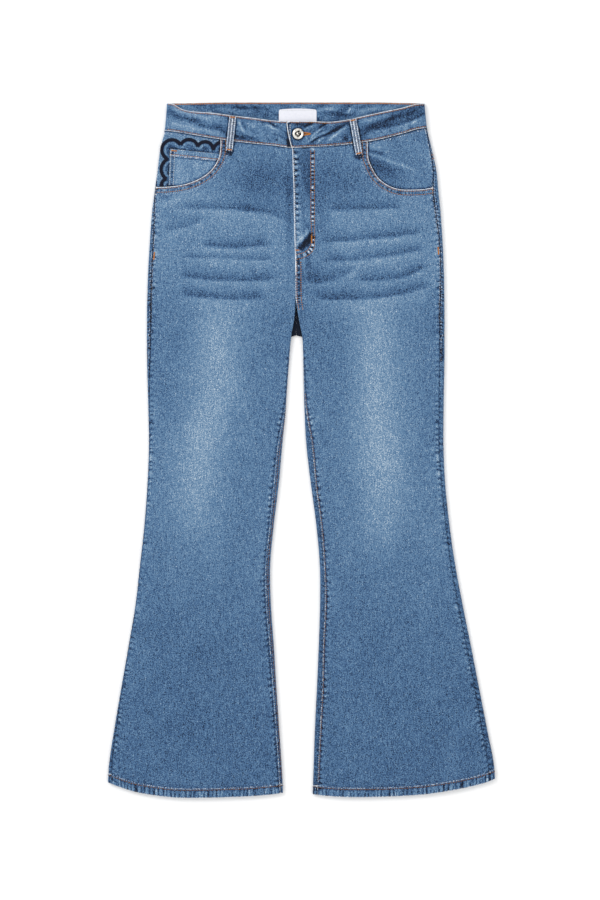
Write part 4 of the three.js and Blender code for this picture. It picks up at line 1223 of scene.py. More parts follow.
def back_piece(name, side, top, foot, node, seed):
    """A piece of the back between two seams, or from a seam down to the hem."""
    tube = Tube(side, back_ends(side), under=True)
    upper = tube.edge_across(*top)
    if foot is None:
        half = float(tube.width(np.array([LENGTH]))[0]) / 2
        lower = stack(np.linspace(half, -half, 200), LENGTH)
    else:
        lower = tube.edge_across(*foot)[::-1]
    inner_end, side_end = float(lower[0, 1]), float(lower[-1, 1])
    cut = Cut([("top", upper), ("inner", tube.edge_down(1.0, float(upper[-1, 1]), inner_end)),
               ("foot", lower), ("side", tube.edge_down(0.0, float(upper[0, 1]), side_end)[::-1])],
              grid=(5.0, 4.4), extra={} if foot else {"foot": HEM_RINGS})
    (top_gap, top_run), (foot_gap, foot_run) = cut.gap("top"), cut.gap("foot")
    (side_gap, side_run), (inner_gap, inner_run) = cut.gap("side"), cut.gap("inner")
    points, normals = tube.place(cut.places)
    x, down, nz = points[:, 0], points[:, 1], normals[:, 2]
    flat = np.maximum(0, -nz) ** 2
    on_hip = 1 - smooth(380, 460, down)
    side_marks = roping(side_run, side_gap, seed + 3, mix(8.6, 5.2, on_hip), 11.0, 0.3)
    puckers = (roping(inner_run, inner_gap, seed + 5)
               + 0.6 * roping(top_run, top_gap, seed + 9, 7.0, 6.0))
    wall = back_wall(down, nz)
    rope = np.zeros(x.shape)
    if foot is None:
        rope = hem_rope(foot_run, seed + 31, 34) * (1 - smooth(10.6, 11.6, foot_gap))
        wall = np.where(foot_gap < 12.6, HEM_SHELL, wall)
    else:
        puckers = puckers + 0.6 * roping(foot_run, foot_gap, seed + 13, 7.0, 6.0)
    shade = creases(BACK_CREASES, x, down, 0.2, 2.2)
    loose = np.maximum(0, 0.3 * soft_waves(x, down, seed) + 2.2 * shade + 0.12)
    lift = flat * (under_dents(x, down) + loose)
    edge_lift = flat * 0.35 * (1 - smooth(0.5, 6, np.minimum(inner_gap, side_gap)))
    # Painted shadow in the gap between the legs, on the outer and the inner face of the back.
    crotch_shadow = smooth(300, 312, down) * (1 - smooth(366, 372, down)) * line_of(x, -4, 12)
    round_patch = np.exp(-(outline_gap(patch_outline(side), x, down) / 3) ** 2) * flat
    tone, relief, worn = drawn_lines(cut, BACK_LINES, hip=on_hip, hem=float(foot is None))
    relief = (relief + (0.4 * (puckers + side_marks) + 0.3 * rope) * (1 - flat) - lift
              - edge_lift * (1 + puckers))
    tone = (tone + back_wash(side, x, down) + shade + 0.26 * puckers + mix(0.3, 0.6, on_hip) * side_marks
            + 0.42 * rope - 0.1 * np.exp(-inner_gap / 3.0) - 0.08 * (1 - flat) - crotch_shadow
            - 0.12 * round_patch)
    wall = wall - np.minimum(lift, 1.1) * flat * (wall > 1.5)
    # The inner face is painted dark, 0.16, as the shade inside the garment, and darker still in the crotch
    # gap.
    piece = Cloth(name, cut, tube.place, wall, denim, relief, tone, worn, 0.16 - crotch_shadow, round_edges=0.3)
    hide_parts(node)
    return piece


# ---------------------------------------------------------------- the waistband
def wrinkles(x, down):
    """Short slanting wrinkles of the waistband, drawn up from its lower edge towards the side."""
    lean = np.where(x > 0, 1.0, -1.0)
    along, over = x * 0.9 - lean * down * 0.42, lean * x * 0.42 + down * 0.9
    waves = noise(along / 24, over / 5.6, 71) + 0.6 * noise(along / 13, over / 3.2, 72)
    return np.clip(1.5 * waves, -1, 1)


class Band:
    """Places on the waistband: across from the side fold, and down from its upper edge."""
    HEIGHT = 40.0

    def __init__(self, side, under=False, lift=None):
        self.side, self.under, self.lift = side, under, lift

    def edges(self, x):
        if self.under:
            return back_top(x), back_waist(x) - HALF_GAP
        return waist_top(x), waist_seam(x) - HALF_GAP

    def place(self, places):
        c, drop = places.T
        down = np.full(c.shape, 30.0)
        for _ in range(5):
            section = Section(self.side, down, BAND_FOLD, BEYOND)
            x, z, nx, nz = section.contour(c, self.under)
            top, foot = self.edges(x)
            down = mix(top, foot, drop / self.HEIGHT)
        rise = crown(self.side, x, down)
        if self.lift is not None:
            rise = rise + self.lift(x)
        return stack(x, down, z + np.maximum(0, nz) * rise), stack(nx, 0, nz)

    def reach(self, x, down):
        return float(Section(self.side, np.array([down]), BAND_FOLD, BEYOND).along_to(np.array([x]))[0])


def rounded_corner(corner, before, after, radius):
    corner, before, after = (np.array(p, float) for p in (corner, before, after))
    a = corner + (before - corner) / np.linalg.norm(before - corner) * radius
    b = corner + (after - corner) / np.linalg.norm(after - corner) * radius
    t = np.linspace(0, 1, 6)[:, None]
    return (1 - t) ** 2 * a + 2 * t * (1 - t) * corner + t**2 * b


BAND_LINES = [
    ("foot", 2.2, 0.9, "all", 0, -0.35, 0), ("top", 2.0, 0.8, "all", 0, -0.3, 0),
    ("foot", 2.2, 1.2, "all", -0.22, 0, 0), ("top", 2.4, 1.3, "all", -0.2, 0, 0),
    ("top", 0.1, 0.9, "all", 0, 0, 1.1), ("foot", 0.1, 0.9, "all", 0, 0, 0.85),
    ("tip", 0.1, 1.1, "left", 0, 0, 1.1), ("tip", 2.6, 0.9, "left", -0.3, 0, 0),
]


def front_band(side):
    left = side == "left"
    band = Band(side, lift=band_lift if left else None)
    end = band.reach(BAND_LAP_FROM if left else BAND_UNDER_TO, 50.0)
    start, height = HALF_GAP, Band.HEIGHT
    upper = rounded_corner((end, 0), (start, 0), (end, height), 5.0 if left else 2.0)
    lower = rounded_corner((end, height), (end, 0), (start, height), 1.5)
    cut = Cut([("top", resample([(start, 0), upper[0]], 1.8)), ("tip", resample([*upper, *lower], 1.2)),
               ("foot", resample([lower[-1], (start, height)], 1.8)),
               ("fold", resample([(start, height), (start, 0)], 1.8))],
              grid=(1.6, 1.5), rings=(0.7, 1.4, 2.1, 2.9, 4.0),
              holes=[buttonhole_in_band(band)] if left else [])
    points, normals = band.place(cut.places)
    x, down = points[:, 0], points[:, 1]
    (top_gap, top_run), (foot_gap, foot_run) = cut.gap("top"), cut.gap("foot")
    ribs_top = roping(top_run, top_gap, 5, 6.0, 4.5, 1.1)
    ribs_foot = roping(foot_run, foot_gap, 6, 5.5, 4.0, 1.1)
    flat = np.maximum(0, normals[:, 2]) ** 2
    fold_shading = folds(BAND_FOLDS, x, down)
    tone, relief, worn = drawn_lines(cut, BAND_LINES, left=float(left))
    relief = (relief + flat * (0.9 * fold_shading + 0.2 * wrinkles(x, down)) + 0.3 * ribs_top
              + 0.35 * ribs_foot)
    # Tone from the folds and the wrinkles is painted highlight and shade; the belt loops' term is a painted
    # shadow beside them.
    tone = (tone + 0.45 + 1.1 * fold_shading + 0.07 * wrinkles(x, down) + 0.14 * ribs_top + 0.16 * ribs_foot
            - 0.5 * loop_shadow(x, down))
    if left:
        past_button = np.maximum(0, np.hypot(x - BUTTON[0], down - BUTTON[1]) - BUTTON_RADIUS)
        # The darkening round the button is a painted shadow.
        tone = tone - 0.1 - 0.02 * smooth(40, 130, x) - 0.5 * line_of(past_button, 0, 1.5)
    else:
        # The darkening towards the right band's end is painted shade beside and under the left band's lapped
        # end.
        tone = tone - 0.02 * smooth(-120, -60, x) - 0.5 * smooth(-24.5, -21.5, x)
    worn = worn - 0.7 * np.exp(-cut.gap("fold")[0] / 1.5)
    piece = Cloth(f"waistband_front_cloth_{side}", cut, band.place, 1.9, denim, relief, tone, worn, 0.35)
    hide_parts(f"waistband_front_{side}")
    return piece


def buttonhole_in_band(band):
    """The eyelet and slit, as places on the band."""
    x, down = BUTTON
    ring = [(x + EYELET_RADIUS * math.cos(angle), down + EYELET_RADIUS * math.sin(angle))
            for angle in np.linspace(0.3, 2 * math.pi - 0.3, 18)]
    ring += [(x + SLIT_LENGTH, down + SLIT_WIDTH / 2), (x + SLIT_LENGTH, down - SLIT_WIDTH / 2)]
    xs, downs = np.array(ring).T
    top, foot = band.edges(xs)
    return stack([band.reach(px, py) for px, py in ring], (downs - top) / (foot - top) * Band.HEIGHT)


BACK_BAND_LINES = [("top", 0.2, 1.2, "all", 0, 0, 0.9), ("foot", 0.2, 1.0, "all", 0, 0, 0.5)]


def back_band():
    """The back of the waistband, in one length from side fold to side fold."""
    halves = {side: Band(side, under=True) for side in INTO}
    reach = {side: halves[side].reach(CENTRE_BACK, 20.0) for side in INTO}
    total = reach["right"] + reach["left"]

    def place(places):
        on_right = places[:, 0] <= reach["right"]
        right = halves["right"].place(places)
        left = halves["left"].place(np.column_stack([total - places[:, 0], places[:, 1]]))
        return tuple(np.where(on_right[:, None], r, l) for r, l in zip(right, left))

    start, end, height = HALF_GAP, total - HALF_GAP, Band.HEIGHT
    corners = [(start, 0), (end, 0), (end, height), (start, height), (start, 0)]
    names = ("top", "left", "foot", "right")
    cut = Cut([(n, resample(corners[k:k + 2], 2.0)) for k, n in enumerate(names)],
              grid=(3.4, 2.8), rings=(0.8, 1.8, 3.0, 4.6))
    top_gap, top_run = cut.gap("top")
    points, normals = place(cut.places)
    x, down = points[:, 0], points[:, 1]
    flat = np.maximum(0, -normals[:, 2]) ** 2
    ribs_top = roping(top_run, top_gap, 85, 7.0, 7.0, 0.9)
    lift = flat * (under_dents(x, down) + 0.12 + 0.12 * wrinkles(x, down))
    tone, relief, worn = drawn_lines(cut, BACK_BAND_LINES)
    relief = relief - lift + 0.25 * ribs_top * (1 - flat)
    # Tone from the wrinkles, and from the folds of the inner face, is painted highlight and shade.
    tone = tone + 0.4 + 0.1 * wrinkles(x, down) + 0.15 * ribs_top
    inner_tone = 0.34 + folds(BACK_BAND_FOLDS, x, down) + 0.12 * wrinkles(x, down)
    piece = Cloth("waistband_back_cloth", cut, place, 2.4 - np.minimum(lift, 1.2), denim, relief, tone,
                  worn, inner_tone, round_edges=0.3)
    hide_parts("waistband_back")
    return piece


# ---------------------------------------------------------------- pocket facings and the coin pocket
def facing_height(side, down, from_edge):
    """How far a facing lies below the front's face. It rises to the outseam at its edge."""
    to_side = smooth(0, FACING_SLOPE, from_edge)
    to_foot = smooth(MOUTH_SIDE[side] - 12, MOUTH_SIDE[side] - 2, down)
    return -FACING_DEPTH * np.maximum(to_side, to_foot)


def facing_place(side, height):
    def place(places):
        across, down = places.T
        section = Section(side, down, TORSO_FOLD)
        start = section.along(OUTLINE[side]("outseam", down)) + HALF_GAP
        x, z, nx, nz = section.contour(start + across, False)
        z = z + np.maximum(0, nz) * crown(side, x, down)
        off = height + facing_height(side, down, across)
        return stack(x + nx * off, down, z + nz * off), stack(nx, 0, nz)

    return place


def facing_reach(side, x, down):
    """Place across the facing of a plan point."""
    section = Section(side, np.atleast_1d(float(down)), TORSO_FOLD)
    start = section.along(OUTLINE[side]("outseam", np.atleast_1d(float(down)))) + HALF_GAP
    return float((section.along_to(np.atleast_1d(float(x))) - start)[0])


# The darkening rows on the top and side edges are painted shade: the shadow under the waistband's foot and
# the shade in the side seam's crevice.
FACING_LINES = [
    ("top", 0.3, 1.5, "all", -0.4, 0, 0), ("side", 0.0, 0.9, "all", -0.3, 0, 0),
    ("side", 1.6, 0.8, "all", 0, 0, 0.45), ("top", 3.4, 1.0, "all", 0, 0, 0.4),
]


def pocket_facing(side):
    def seam(x):
        return float(waist_seam(np.array(x))) + HALF_GAP

    tuck = MOUTH[side][1][0] + INTO[side] * FACING_TUCK
    corner_x = float(OUTLINE[side]("outer", FACING_TOP) + INTO[side] * OUTLINE[side]("outseam", FACING_TOP))
    top = np.array([(facing_reach(side, x, seam(x)), seam(x)) for x in np.linspace(corner_x, tuck, 60)])
    top[0, 0] = 0.0
    inner = [(facing_reach(side, tuck, down), down) for down in np.linspace(seam(tuck), FACING_FOOT, 50)]
    foot, edge = [inner[-1], (0.0, FACING_FOOT)], [(0.0, FACING_FOOT), top[0]]
    cut = Cut([("top", resample(top, 2)), ("inner", resample(inner, 2)), ("foot", resample(foot, 2)),
               ("side", resample(edge, 2))], grid=(1.9, 1.8), rings=(0.8, 1.6, 2.4, 3.4, 4.6))
    place = facing_place(side, 0.0)
    x, down = place(cut.places)[0][:, :2].T
    (side_gap, side_run), (top_gap, top_run) = cut.gap("side"), cut.gap("top")
    rope = roping(side_run, side_gap, 91, 7.0, 3.0) + 0.7 * roping(top_run, top_gap, 92, 5.0, 3.0)
    drag = noise((x - down) / 9.0, (x + down) / 60.0, 93)
    mouth_gap = beside(mouth_line(side), x, down)[0]
    tone, relief, worn = drawn_lines(cut, FACING_LINES)
    relief = relief + 0.3 * rope + 0.15 * drag
    # The darkening along the pocket mouth is a painted shadow of the front's edge, which lies over the facing
    # there.
    tone = tone + 0.45 + 0.16 * rope + 0.05 * drag - 0.42 * line_of(mouth_gap, 0, 2.6)
    if side == "right":
        gap = -beside(resample(scallop_line(), 3.0), x, down)[0]
        outside = smooth(-1.5, 1.5, gap)
        tone = tone + mix(-0.22, 0.08, outside) + 0.4 * line_of(gap, -5.0, 1.3)
        worn = worn * outside
        # A painted shadow along the coin pocket's upper and left edges, where it lies over the facing.
        corner = (COIN["left"], COIN["top"])
        for line in ([corner, (COIN["right"], COIN["right_top"])],
                     [corner, (COIN["left_foot"], FACING_FOOT)]):
            tone = tone - 0.3 * line_of(beside(line, x, down)[0], 0, 2.2)
    else:
        # Painted highlight and shade of the facing's folds.
        fold_shading = folds(FACING_FOLDS, x, down)
        relief, tone = relief + 0.8 * fold_shading, tone + fold_shading
    piece = Cloth(f"pocket_facing_cloth_{side}", cut, place, 1.1, denim, relief, tone, worn, 0.2)
    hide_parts(f"pocket_facing_{side}")
    return piece


def scallop_arc(a, b):
    """One arc of the border, from cusp to cusp."""
    (ax, ad, _), (bx, bd, bulge) = a, b
    chord = math.hypot(bx - ax, bd - ad)
    sag = chord * bulge
    radius = chord * chord / (8 * sag) + sag / 2
    quarter = math.asin(chord / 2 / radius)
    half = math.pi - quarter if sag > radius else quarter
    ux, ud = (bx - ax) / chord, (bd - ad) / chord
    angles = np.linspace(-half, half, 40)
    s, h = radius * np.sin(angles), radius * np.cos(angles) - (radius - sag)
    return np.column_stack([(ax + bx) / 2 + ux * s + ud * h, (ad + bd) / 2 + ud * s - ux * h])


def scallop_line():
    return np.vstack([scallop_arc(a, b) for a, b in zip(SCALLOPS, SCALLOPS[1:])])


COIN_HEM_ROW = 8.2


# The darkening row on the mouth edge is a painted shadow of the front's edge over the coin pocket.
COIN_LINES = [
    ("hem", COIN_HEM_ROW, 0.9, "all", 0, -0.3, 0), ("hem", 11.4, 1.0, "all", 0, -0.3, 0),
    ("mouth", 0.0, 2.4, "all", -0.36, 0, 0), ("hem", 12.0, 1.0, "all", -0.45, 0, 0),
    ("hem", COIN_HEM_ROW, 1.0, "all", -0.25, 0, 0), ("left", 4.4, 2.8, "all", -0.25, 0, 0),
    ("hem", 0.1, 0.9, "all", 0, 0, 0.45), ("hem", COIN_HEM_ROW + 1.8, 0.9, "all", 0, 0, 0.75),
    ("left", 0.1, 0.9, "all", 0, 0, 0.3),
]


def coin_pocket():
    left, foot, top = COIN["left"], COIN["left_foot"], COIN["top"]
    right, right_top = COIN["right"], COIN["right_top"]

    def upper(x):
        return top + (right_top - top) * (x - left) / (right - left)

    def left_at(down):
        return left + (foot - left) * (down - top) / COIN["height"]

    line = mouth_line("right", 0.5)
    line = line[(line[:, 1] > upper(line[:, 0])) & (line[:, 0] > left_at(line[:, 1]))]
    first, last = (line[0, 0], upper(line[0, 0])), (left_at(line[-1, 1]), line[-1, 1])
    outline = [("hem", [(left, top), first]), ("mouth", [first, *line, last]), ("left", [last, (left, top)])]
    cut = Cut([(n, resample(e, 1.4)) for n, e in outline], grid=(1.5, 1.5), rings=(0.7, 1.4, 2.1, 3.0))
    base = facing_place("right", SEAM_GAP + FACING_WALL)

    def place(places):
        reach = np.array([facing_reach("right", x, d) for x, d in places])
        return base(np.column_stack([reach, places[:, 1]]))

    (hem_gap, hem_run), (left_gap, left_run) = cut.gap("hem"), cut.gap("left")
    x, down = cut.places.T
    rope = 0.5 * roping(hem_run, np.abs(hem_gap - 4.0), 95, 4.4, 4.0)
    dots = roping(left_run, np.abs(left_gap - 4.4), 96, 5.2, 2.0)
    tone, relief, worn = drawn_lines(cut, COIN_LINES)
    relief = relief + 0.25 * (rope + dots) + 0.15 * noise(x / 16, down / 22, 97)
    tone = tone + 0.56 + 0.3 * rope + 0.6 * dots + 0.06 * noise(x / 9, down / 30, 98)
    worn = (worn + 0.5 * np.maximum(0, dots - 0.1)) * (1 - line_of(cut.gap("mouth")[0], 0, 2.4))
    piece = Cloth("coin_pocket_cloth", cut, place, 1.0, denim, relief, tone, worn, 0.2, round_edges=0.3)
    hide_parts("coin_pocket")
    return piece


# ---------------------------------------------------------------- belt loops, patches, label and button
def flat_piece(name, outline, place, wall, node, tone, stripe=None, grid=(0.9, 1.8), rings=(0.6, 1.2, 2.0)):
    """A small piece cut from a straight-sided outline in its own flat places."""
    corners = [*outline, outline[0]]
    edges = [(f"edge_{k}", resample(corners[k:k + 2], 1.3)) for k in range(len(outline))]
    cut = Cut(edges, grid=grid, rings=rings)
    gaps = [cut.gap(n) for n, _ in edges]
    near = np.min([g for g, _ in gaps], axis=0)
    across, along = cut.places.T
    rope = sum(roping(run, gap, 60 + k, 5.0, 3.0) for k, (gap, run) in enumerate(gaps))
    worn = 0.8 * line_of(near, 0.1, 0.9) if stripe is None else stripe(across)
    piece = Cloth(name, cut, place, wall, denim, 0.18 * rope, tone(across, along, near) + 0.14 * rope, worn,
                  0.3, round_edges=0.35)
    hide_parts(node)
    return piece


def front_face(side, x, down):
    """Height of the front's face: the waistband, then a soft step down to the panel."""
    seam = waist_seam(x)
    proud = BAND_PROUD * (1 - smooth(seam + 1, seam + 7, down))
    return 2 * TORSO_FOLD + crown(side, x, down) + proud


def front_loop(side):
    (tx, td), (fx, fd) = FRONT_LOOPS[side]
    length = math.hypot(fx - tx, fd - td)
    ax, ad = (fd - td) / length, (tx - fx) / length

    def place(places):
        across, along = places.T
        t = along / length
        x, down = mix(tx, fx, t) + ax * across, mix(td, fd, t) + ad * across
        arch = 0.9 * np.sin(np.clip(t, 0, 1) * math.pi) ** 0.6
        roll = 0.35 * (1 - (2 * across / LOOP_WIDTH) ** 2)
        z = front_face(side, x, down) + SEAM_GAP + LOOP_WALL - 0.2 + arch * 0.8 + roll
        return stack(x, down, z), stack(0.0 * x, 0.0, 1.0)

    half = LOOP_WIDTH / 2
    outline = [(-half, 0), (half, 0), (half, length), (-half, length)]

    def tone(across, along, near):
        """Three ridges rubbed pale over the seam allowances, with blue left in the two grooves, and painted
        shade along the loop's edges.
        """
        return (0.52 - 0.5 * line_of(np.abs(across), 2.2, 1.0) - 0.2 * line_of(near, 0, 0.7)
                + 0.1 * noise(across / 2.5, along / 9, 66))

    def stripe(across):
        return 0.85 * line_of(across, 0, 1.1) + 0.75 * line_of(np.abs(across), 4.3, 0.9)

    return flat_piece(f"belt_loop_front_strap_{side}", outline, place, 1.3, f"belt_loop_front_{side}",
                      tone, stripe)


def laid_under(places):
    x, down = places.T
    return stack(x, down, 0.0), stack(0.0 * x, 0.0, -1.0)


def back_loop(which):
    def tone(across, along, near):
        return 0.42 + 0.08 * noise(across / 2.5, along / 9, 67) + 0.0 * near

    return flat_piece(f"belt_loop_back_strap_{which}", loop_outline(BACK_LOOPS[which]), laid_under, 1.0,
                      f"belt_loop_back_{which}", tone)


def back_patch(side):
    def tone(across, along, near):
        return (back_wash(side, across, along) + 0.04 + 0.05 * noise(across / 22, along / 30, 68)
                - 0.06 * line_of(near, 5, 3))

    return flat_piece(f"back_pocket_patch_{side}", patch_outline(side), laid_under, 1.0,
                      f"back_pocket_{side}", tone, grid=(4.0, 4.0), rings=(0.9, 2.0, 3.4, 5.2, 7.5))


def bare_label():
    left, right, top, foot, bow = (LABEL[k] for k in ("left", "right", "top", "foot", "bow"))
    arch = [(x, top + bow * (2 * (x - (left + right) / 2) / (right - left)) ** 2)
            for x in np.linspace(left + 3.0, right - 3.0, 30)]
    first = rounded_corner((left, top + bow), (left, foot), arch[0], 3.0)
    last = rounded_corner((right, top + bow), arch[-1], (right, foot), 3.0)
    outline = np.vstack([first, arch, last, [(right, foot), (left, foot)], first[:1]])
    cut = Cut([("all", resample(outline, 1.2))], grid=(2.4, 2.4), rings=(0.7, 1.6, 2.8))

    def place(places):
        x, down = places.T
        return stack(x, down, BACK_BAND_WALL + SEAM_GAP + 0.75), stack(0.0 * x, 0.0, 1.0)

    x, down = cut.places.T
    relief = 0.25 * noise(x / 14, down / 12, 77)
    piece = Cloth("bare_woven_label", cut, place, 0.6, label_cloth, relief, 0.5, 0.0, 0.5, round_edges=0.2)
    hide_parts("label")
    return piece


def tack_button():
    """Rolled rim round a dark hollow with a small boss, on a shank."""
    foot = 2 * BAND_FOLD + TORSO_CROWN + SEAM_GAP
    rim, under, steps = BUTTON_RADIUS, BAND_LIFT, 48
    # Radius, height over the foot of the shank, and brightness
    profile = [
        (0.0, 0.0, 0.4), (SHANK_RADIUS, 0.0, 0.4), (SHANK_RADIUS, under, 0.5), (rim - 1.2, under, 0.6),
        (rim - 0.4, under + 0.3, 0.8), (rim, under + 0.9, 0.95), (rim - 0.15, under + 1.5, 1.0),
        (rim - 0.7, under + 2.1, 1.0), (rim - 1.5, under + 2.4, 1.0), (rim - 2.4, under + 2.45, 1.0),
        (rim - 3.2, under + 2.2, 0.9), (rim - 3.8, under + 1.7, 0.55), (rim - 4.2, under + 1.1, 0.2),
        (rim - 4.7, under + 1.0, 0.12), (2.6, under + 1.0, 0.1), (2.2, under + 1.2, 0.3),
        (1.5, under + 1.5, 0.5), (0.7, under + 1.6, 0.55), (0.0, under + 1.62, 0.5),
    ]
    points, tone, faces, start = [], [], [], [0]
    for r, h, bright in profile:
        angles = [2 * math.pi * k / steps for k in range(steps if r else 1)]
        points += [(BUTTON[0] + r * math.cos(a), BUTTON[1] + r * math.sin(a), foot + h) for a in angles]
        tone += [bright] * len(angles)
        start.append(len(points))
    for j in range(len(profile) - 1):
        a, b = start[j], start[j + 1]
        for k in range(steps):
            m = (k + 1) % steps
            if profile[j][0] == 0:
                faces.append((a, b + k, b + m))
            elif profile[j + 1][0] == 0:
                faces.append((a + m, a + k, b))
            else:
                faces += [(a + k, b + k, b + m), (a + k, b + m, a + m)]
    button = make_mesh("tack_button_rolled", points, faces, nickel, tone=tone)
    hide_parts("waist_button")


pieces = {}
for side in INTO:
    pieces[f"front_{side}"] = front_panel(side)
    pieces[f"back_{side}"] = back_piece(
        f"back_panel_{side}", side, (yoke_seam, HALF_GAP), None, f"back_{side}", 100)
    pieces[f"yoke_{side}"] = back_piece(
        f"back_yoke_{side}", side, (back_waist, HALF_GAP), (yoke_seam, -HALF_GAP), f"yoke_{side}", 140)
    pieces[f"band_{side}"] = front_band(side)
    pieces[f"facing_{side}"] = pocket_facing(side)
    pieces[f"loop_{side}"] = front_loop(side)
    pieces[f"patch_{side}"] = back_patch(side)
for which in BACK_LOOPS:
    pieces[f"loop_back_{which}"] = back_loop(which)
pieces["band_back"] = back_band()
pieces["coin"] = coin_pocket()
pieces["label"] = label = bare_label()
tack_button()


# ---------------------------------------------------------------- what is sewn where
def run_at(piece, edge, down):
    """How far along an edge a height is."""
    line = piece.cut.edges[edge]
    return float(line.run[np.argmin(np.abs(line.line[:, 1] - down))])


def across_plan(piece, edge, inset, x0, x1, under=False):
    """A line of the waistband that follows one of its seams."""
    xs = np.linspace(x0, x1, 160)
    return piece.lay(stack(xs, edge(xs) + inset), under=under)


BAND_ROW, HEM_ROW = 2.1, 11.8
INSEAM_SEEN = 450.0  # above this the inseam's row has rolled under
band_right, band_left, band_back = pieces["band_right"], pieces["band_left"], pieces["band_back"]
sewn("waistband_upper_stitching", tan_thread,
     across_plan(band_right, waist_top, BAND_ROW, -207, -22),
     across_plan(band_left, waist_top, BAND_ROW, -17, 189))
sewn("waistband_back_upper_stitching", orange_thread,
     across_plan(band_back, back_top, 1.3, -203, 186),
     across_plan(band_back, back_top, BAND_ROW, -203, 186, under=True), length=3.0, gap=0.4, width=2.1)
sewn("waistband_lower_stitching", tan_thread,
     across_plan(band_right, waist_seam, -2.3, -208, -22),
     across_plan(band_left, waist_seam, -2.3, -18, 193),
     across_plan(band_back, back_waist, -2.3, -205, 190, under=True))
sewn("waistband_end_stitching", pale_thread,
     band_left.lay([(-17.6, 34), (-17.6, 66)]))
for side in INTO:
    front, back, yoke = pieces[f"front_{side}"], pieces[f"back_{side}"], pieces[f"yoke_{side}"]
    sewn(f"pocket_mouth_stitching_{side}", tan_thread,
         *[front.along_edge("mouth", inset, 2.0) for inset in MOUTH_ROWS])
    seamed, inset = (back, 2.6) if side == "right" else (front, 1.7)
    seam_from, seam_to = sorted(run_at(seamed, "inner", down) for down in (INSEAM_SEEN, 1055.0))
    sewn(f"inseam_stitching_{side}", brown_thread, seamed.along_edge("inner", inset, seam_from, seam_to))
    sewn(f"hem_stitching_{side}", brown_thread, front.along_edge("hem", HEM_ROW),
         back.along_edge("foot", HEM_ROW), length=3.0, gap=0.8)
    rows = [yoke.along_edge("foot", inset) for inset in (2.0, 7.5)]
    sewn(f"yoke_stitching_{side}", tan_thread, *rows)
    patch = pieces[f"patch_{side}"]
    rows = [patch.along_edge(f"edge_{k}", inset, inset, patch.cut.edges[f"edge_{k}"].run[-1] - inset)
            for k in (1, 2, 3, 4) for inset in (1.8, 7.2)]
    rows += [patch.along_edge("edge_0", inset, 2.0, PATCH["width"] - 2.0) for inset in (2.2, 12.0)]
    sewn(f"patch_stitching_{side}", tan_thread, *rows)
fly = pieces["front_left"]
sewn("fly_curve_stitching", tan_thread,
     *[fly.lay(spline(row, 12)) for row in (FLY_INNER_ROW, FLY_OUTER_ROW)])
sewn("fly_edge_stitching", pale_thread, fly.along_edge("inner", 2.2, 2.0, run_at(fly, "inner", 262.0)),
     length=1.7, gap=1.2, width=0.9)
sewn("crotch_stitching", tan_thread, *[
    fly.along_edge("inner", inset, run_at(fly, "inner", 246.0), run_at(fly, "inner", 322.0))
    for inset in (2.3, 8.6)])
back_left, yoke_left = pieces["back_left"], pieces["yoke_left"]
sewn("seat_seam_stitching", tan_thread, *[
    piece.along_edge("inner", inset, 1.0, run_at(piece, "inner", stop))
    for piece, stop in ((yoke_left, 120.0), (back_left, 356.0)) for inset in (2.0, 7.5)])
coin = pieces["coin"]
sewn("coin_pocket_hem_stitching", tan_thread, coin.along_edge("hem", COIN_HEM_ROW, 1.5))
sewn("coin_pocket_side_stitching", pale_thread,
     *[coin.along_edge("left", inset, 2.0) for inset in (1.6, 7.2)], width=0.9)
loops = [pieces[f"loop_{side}"] for side in INTO] + [pieces[f"loop_back_{which}"] for which in BACK_LOOPS]
sewn("belt_loop_stitching", pale_thread, *[
    loop.along_edge(f"edge_{k}", 3.3, 1.0) for loop in loops for k in (1, 3)], length=1.8, gap=1.3, width=0.8)
tacks = [
    fly.lay([(15.6, 206.5), (15.8, 218.5)], 0.3), fly.lay([(-9.6, 229), (-3.4, 229)], 0.3),
    pieces["front_left"].lay([(211.5, 224), (212.4, 236)], 0.3),
    pieces["front_right"].lay([(-227.6, 232), (-228.8, 244)], 0.3),
    coin.lay([(-202, 74.6), (-193, 75.4)], 0.3),
    *[loop.along_edge(f"edge_{k}", 2.2, 1.4, LOOP_WIDTH - 1.4, 0.3) for loop in loops for k in (0, 2)],
]
for side in INTO:
    patch = patch_outline(side)
    for x in (patch[0][0] + 3.0, patch[1][0] - 3.0):
        tack = [(x, PATCH_DOWN + 1.5), (x, PATCH_DOWN + 12)]
        tacks.append(pieces[f"patch_{side}"].lay(tack, 0.3, under=True))
sewn("bartacks", orange_thread, *tacks, length=2.4, gap=0.55, width=0.75, height=0.8, across=True)
hole_line = [(3.4, 47.2), (9.0, 47.9), (12.6, 48.3), (13.8, 49.1), (12.6, 49.9), (9.0, 50.3),
             (3.4, 51.0)]
sewn("buttonhole_stitching", orange_thread, band_left.lay(spline(hole_line, 8), 0.3), length=2.3, gap=0.5,
     width=0.7, height=0.7, across=True)
SATIN_LIFT = 0.35
border = []
for a, b in zip(SCALLOPS, SCALLOPS[1:]):
    points, normals = pieces["facing_right"].lay(scallop_arc(a, b), 0.4)
    border.append((points + (0, 0, SATIN_LIFT), normals))
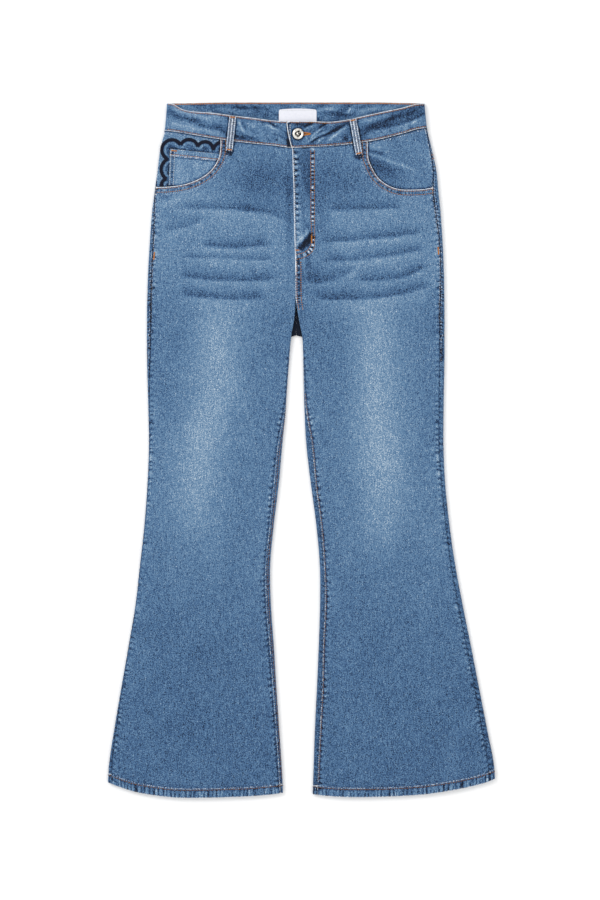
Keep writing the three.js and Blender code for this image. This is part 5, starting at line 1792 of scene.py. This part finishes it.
scallops = sewn("scalloped_satin_border", navy_thread, *border, length=SCALLOP_WIDTH, gap=0.62, width=0.95,
                height=0.95, across=True)
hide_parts("scallop_border")
sewn("label_stitching", pale_thread, label.lay([(LABEL["left"] + 3, 12.2), (LABEL["right"] - 3, 12.2)]),
     length=2.0, width=0.6)

# ---------------------------------------------------------------- floor, light and camera
floor_mesh = bpy.data.meshes.new("studio_floor")
FLOOR_REACH, FLOOR_DROP = 6.0, 0.0004
corners = [(-1, -1), (1, -1), (1, 1), (-1, 1)]
floor_mesh.from_pydata([(x * FLOOR_REACH, y * FLOOR_REACH, 0) for x, y in corners], [], [(0, 1, 2, 3)])
floor_mesh.materials.append(card)
floor = bpy.data.objects.new("studio_floor", floor_mesh)
floor.location.z = -FLOOR_DROP
bpy.context.scene.collection.objects.link(floor)

world = bpy.data.worlds.new("soft_studio")
bpy.context.scene.world = world
world.use_nodes = True
sky = world.node_tree.nodes["Background"]
sky.inputs["Color"].default_value = (1.0, 1.0, 1.0, 1.0)
sky.inputs["Strength"].default_value = 0.95


def soft_box(name, place, target, size, watts):
    light = bpy.data.lights.new(name, "AREA")
    light.shape, light.size, light.energy = "SQUARE", size, watts
    obj = bpy.data.objects.new(name, light)
    obj.location = place
    obj.rotation_euler = (Vector(target) - Vector(place)).to_track_quat("-Z", "Y").to_euler()
    bpy.context.scene.collection.objects.link(obj)


soft_box("key_light", (-3.4, 2.4, 3.4), (0, 0, 0), 2.4, 100.0)
soft_box("fill_light", (3.0, -1.5, 4.5), (0, 0, 0), 3.0, 20.0)

LENS, SENSOR, VIEW_HEIGHT = 200.0, 36.0, 1.395
camera_data = bpy.data.cameras.new("camera")
camera_data.lens, camera_data.sensor_width = LENS, SENSOR
camera_data.clip_end = 50.0
camera = bpy.data.objects.new("camera", camera_data)
camera.location = (-0.0023, 0.0, VIEW_HEIGHT * LENS / SENSOR)
bpy.context.scene.collection.objects.link(camera)
bpy.context.scene.camera = camera
bpy.context.scene.view_settings.view_transform = "Standard"
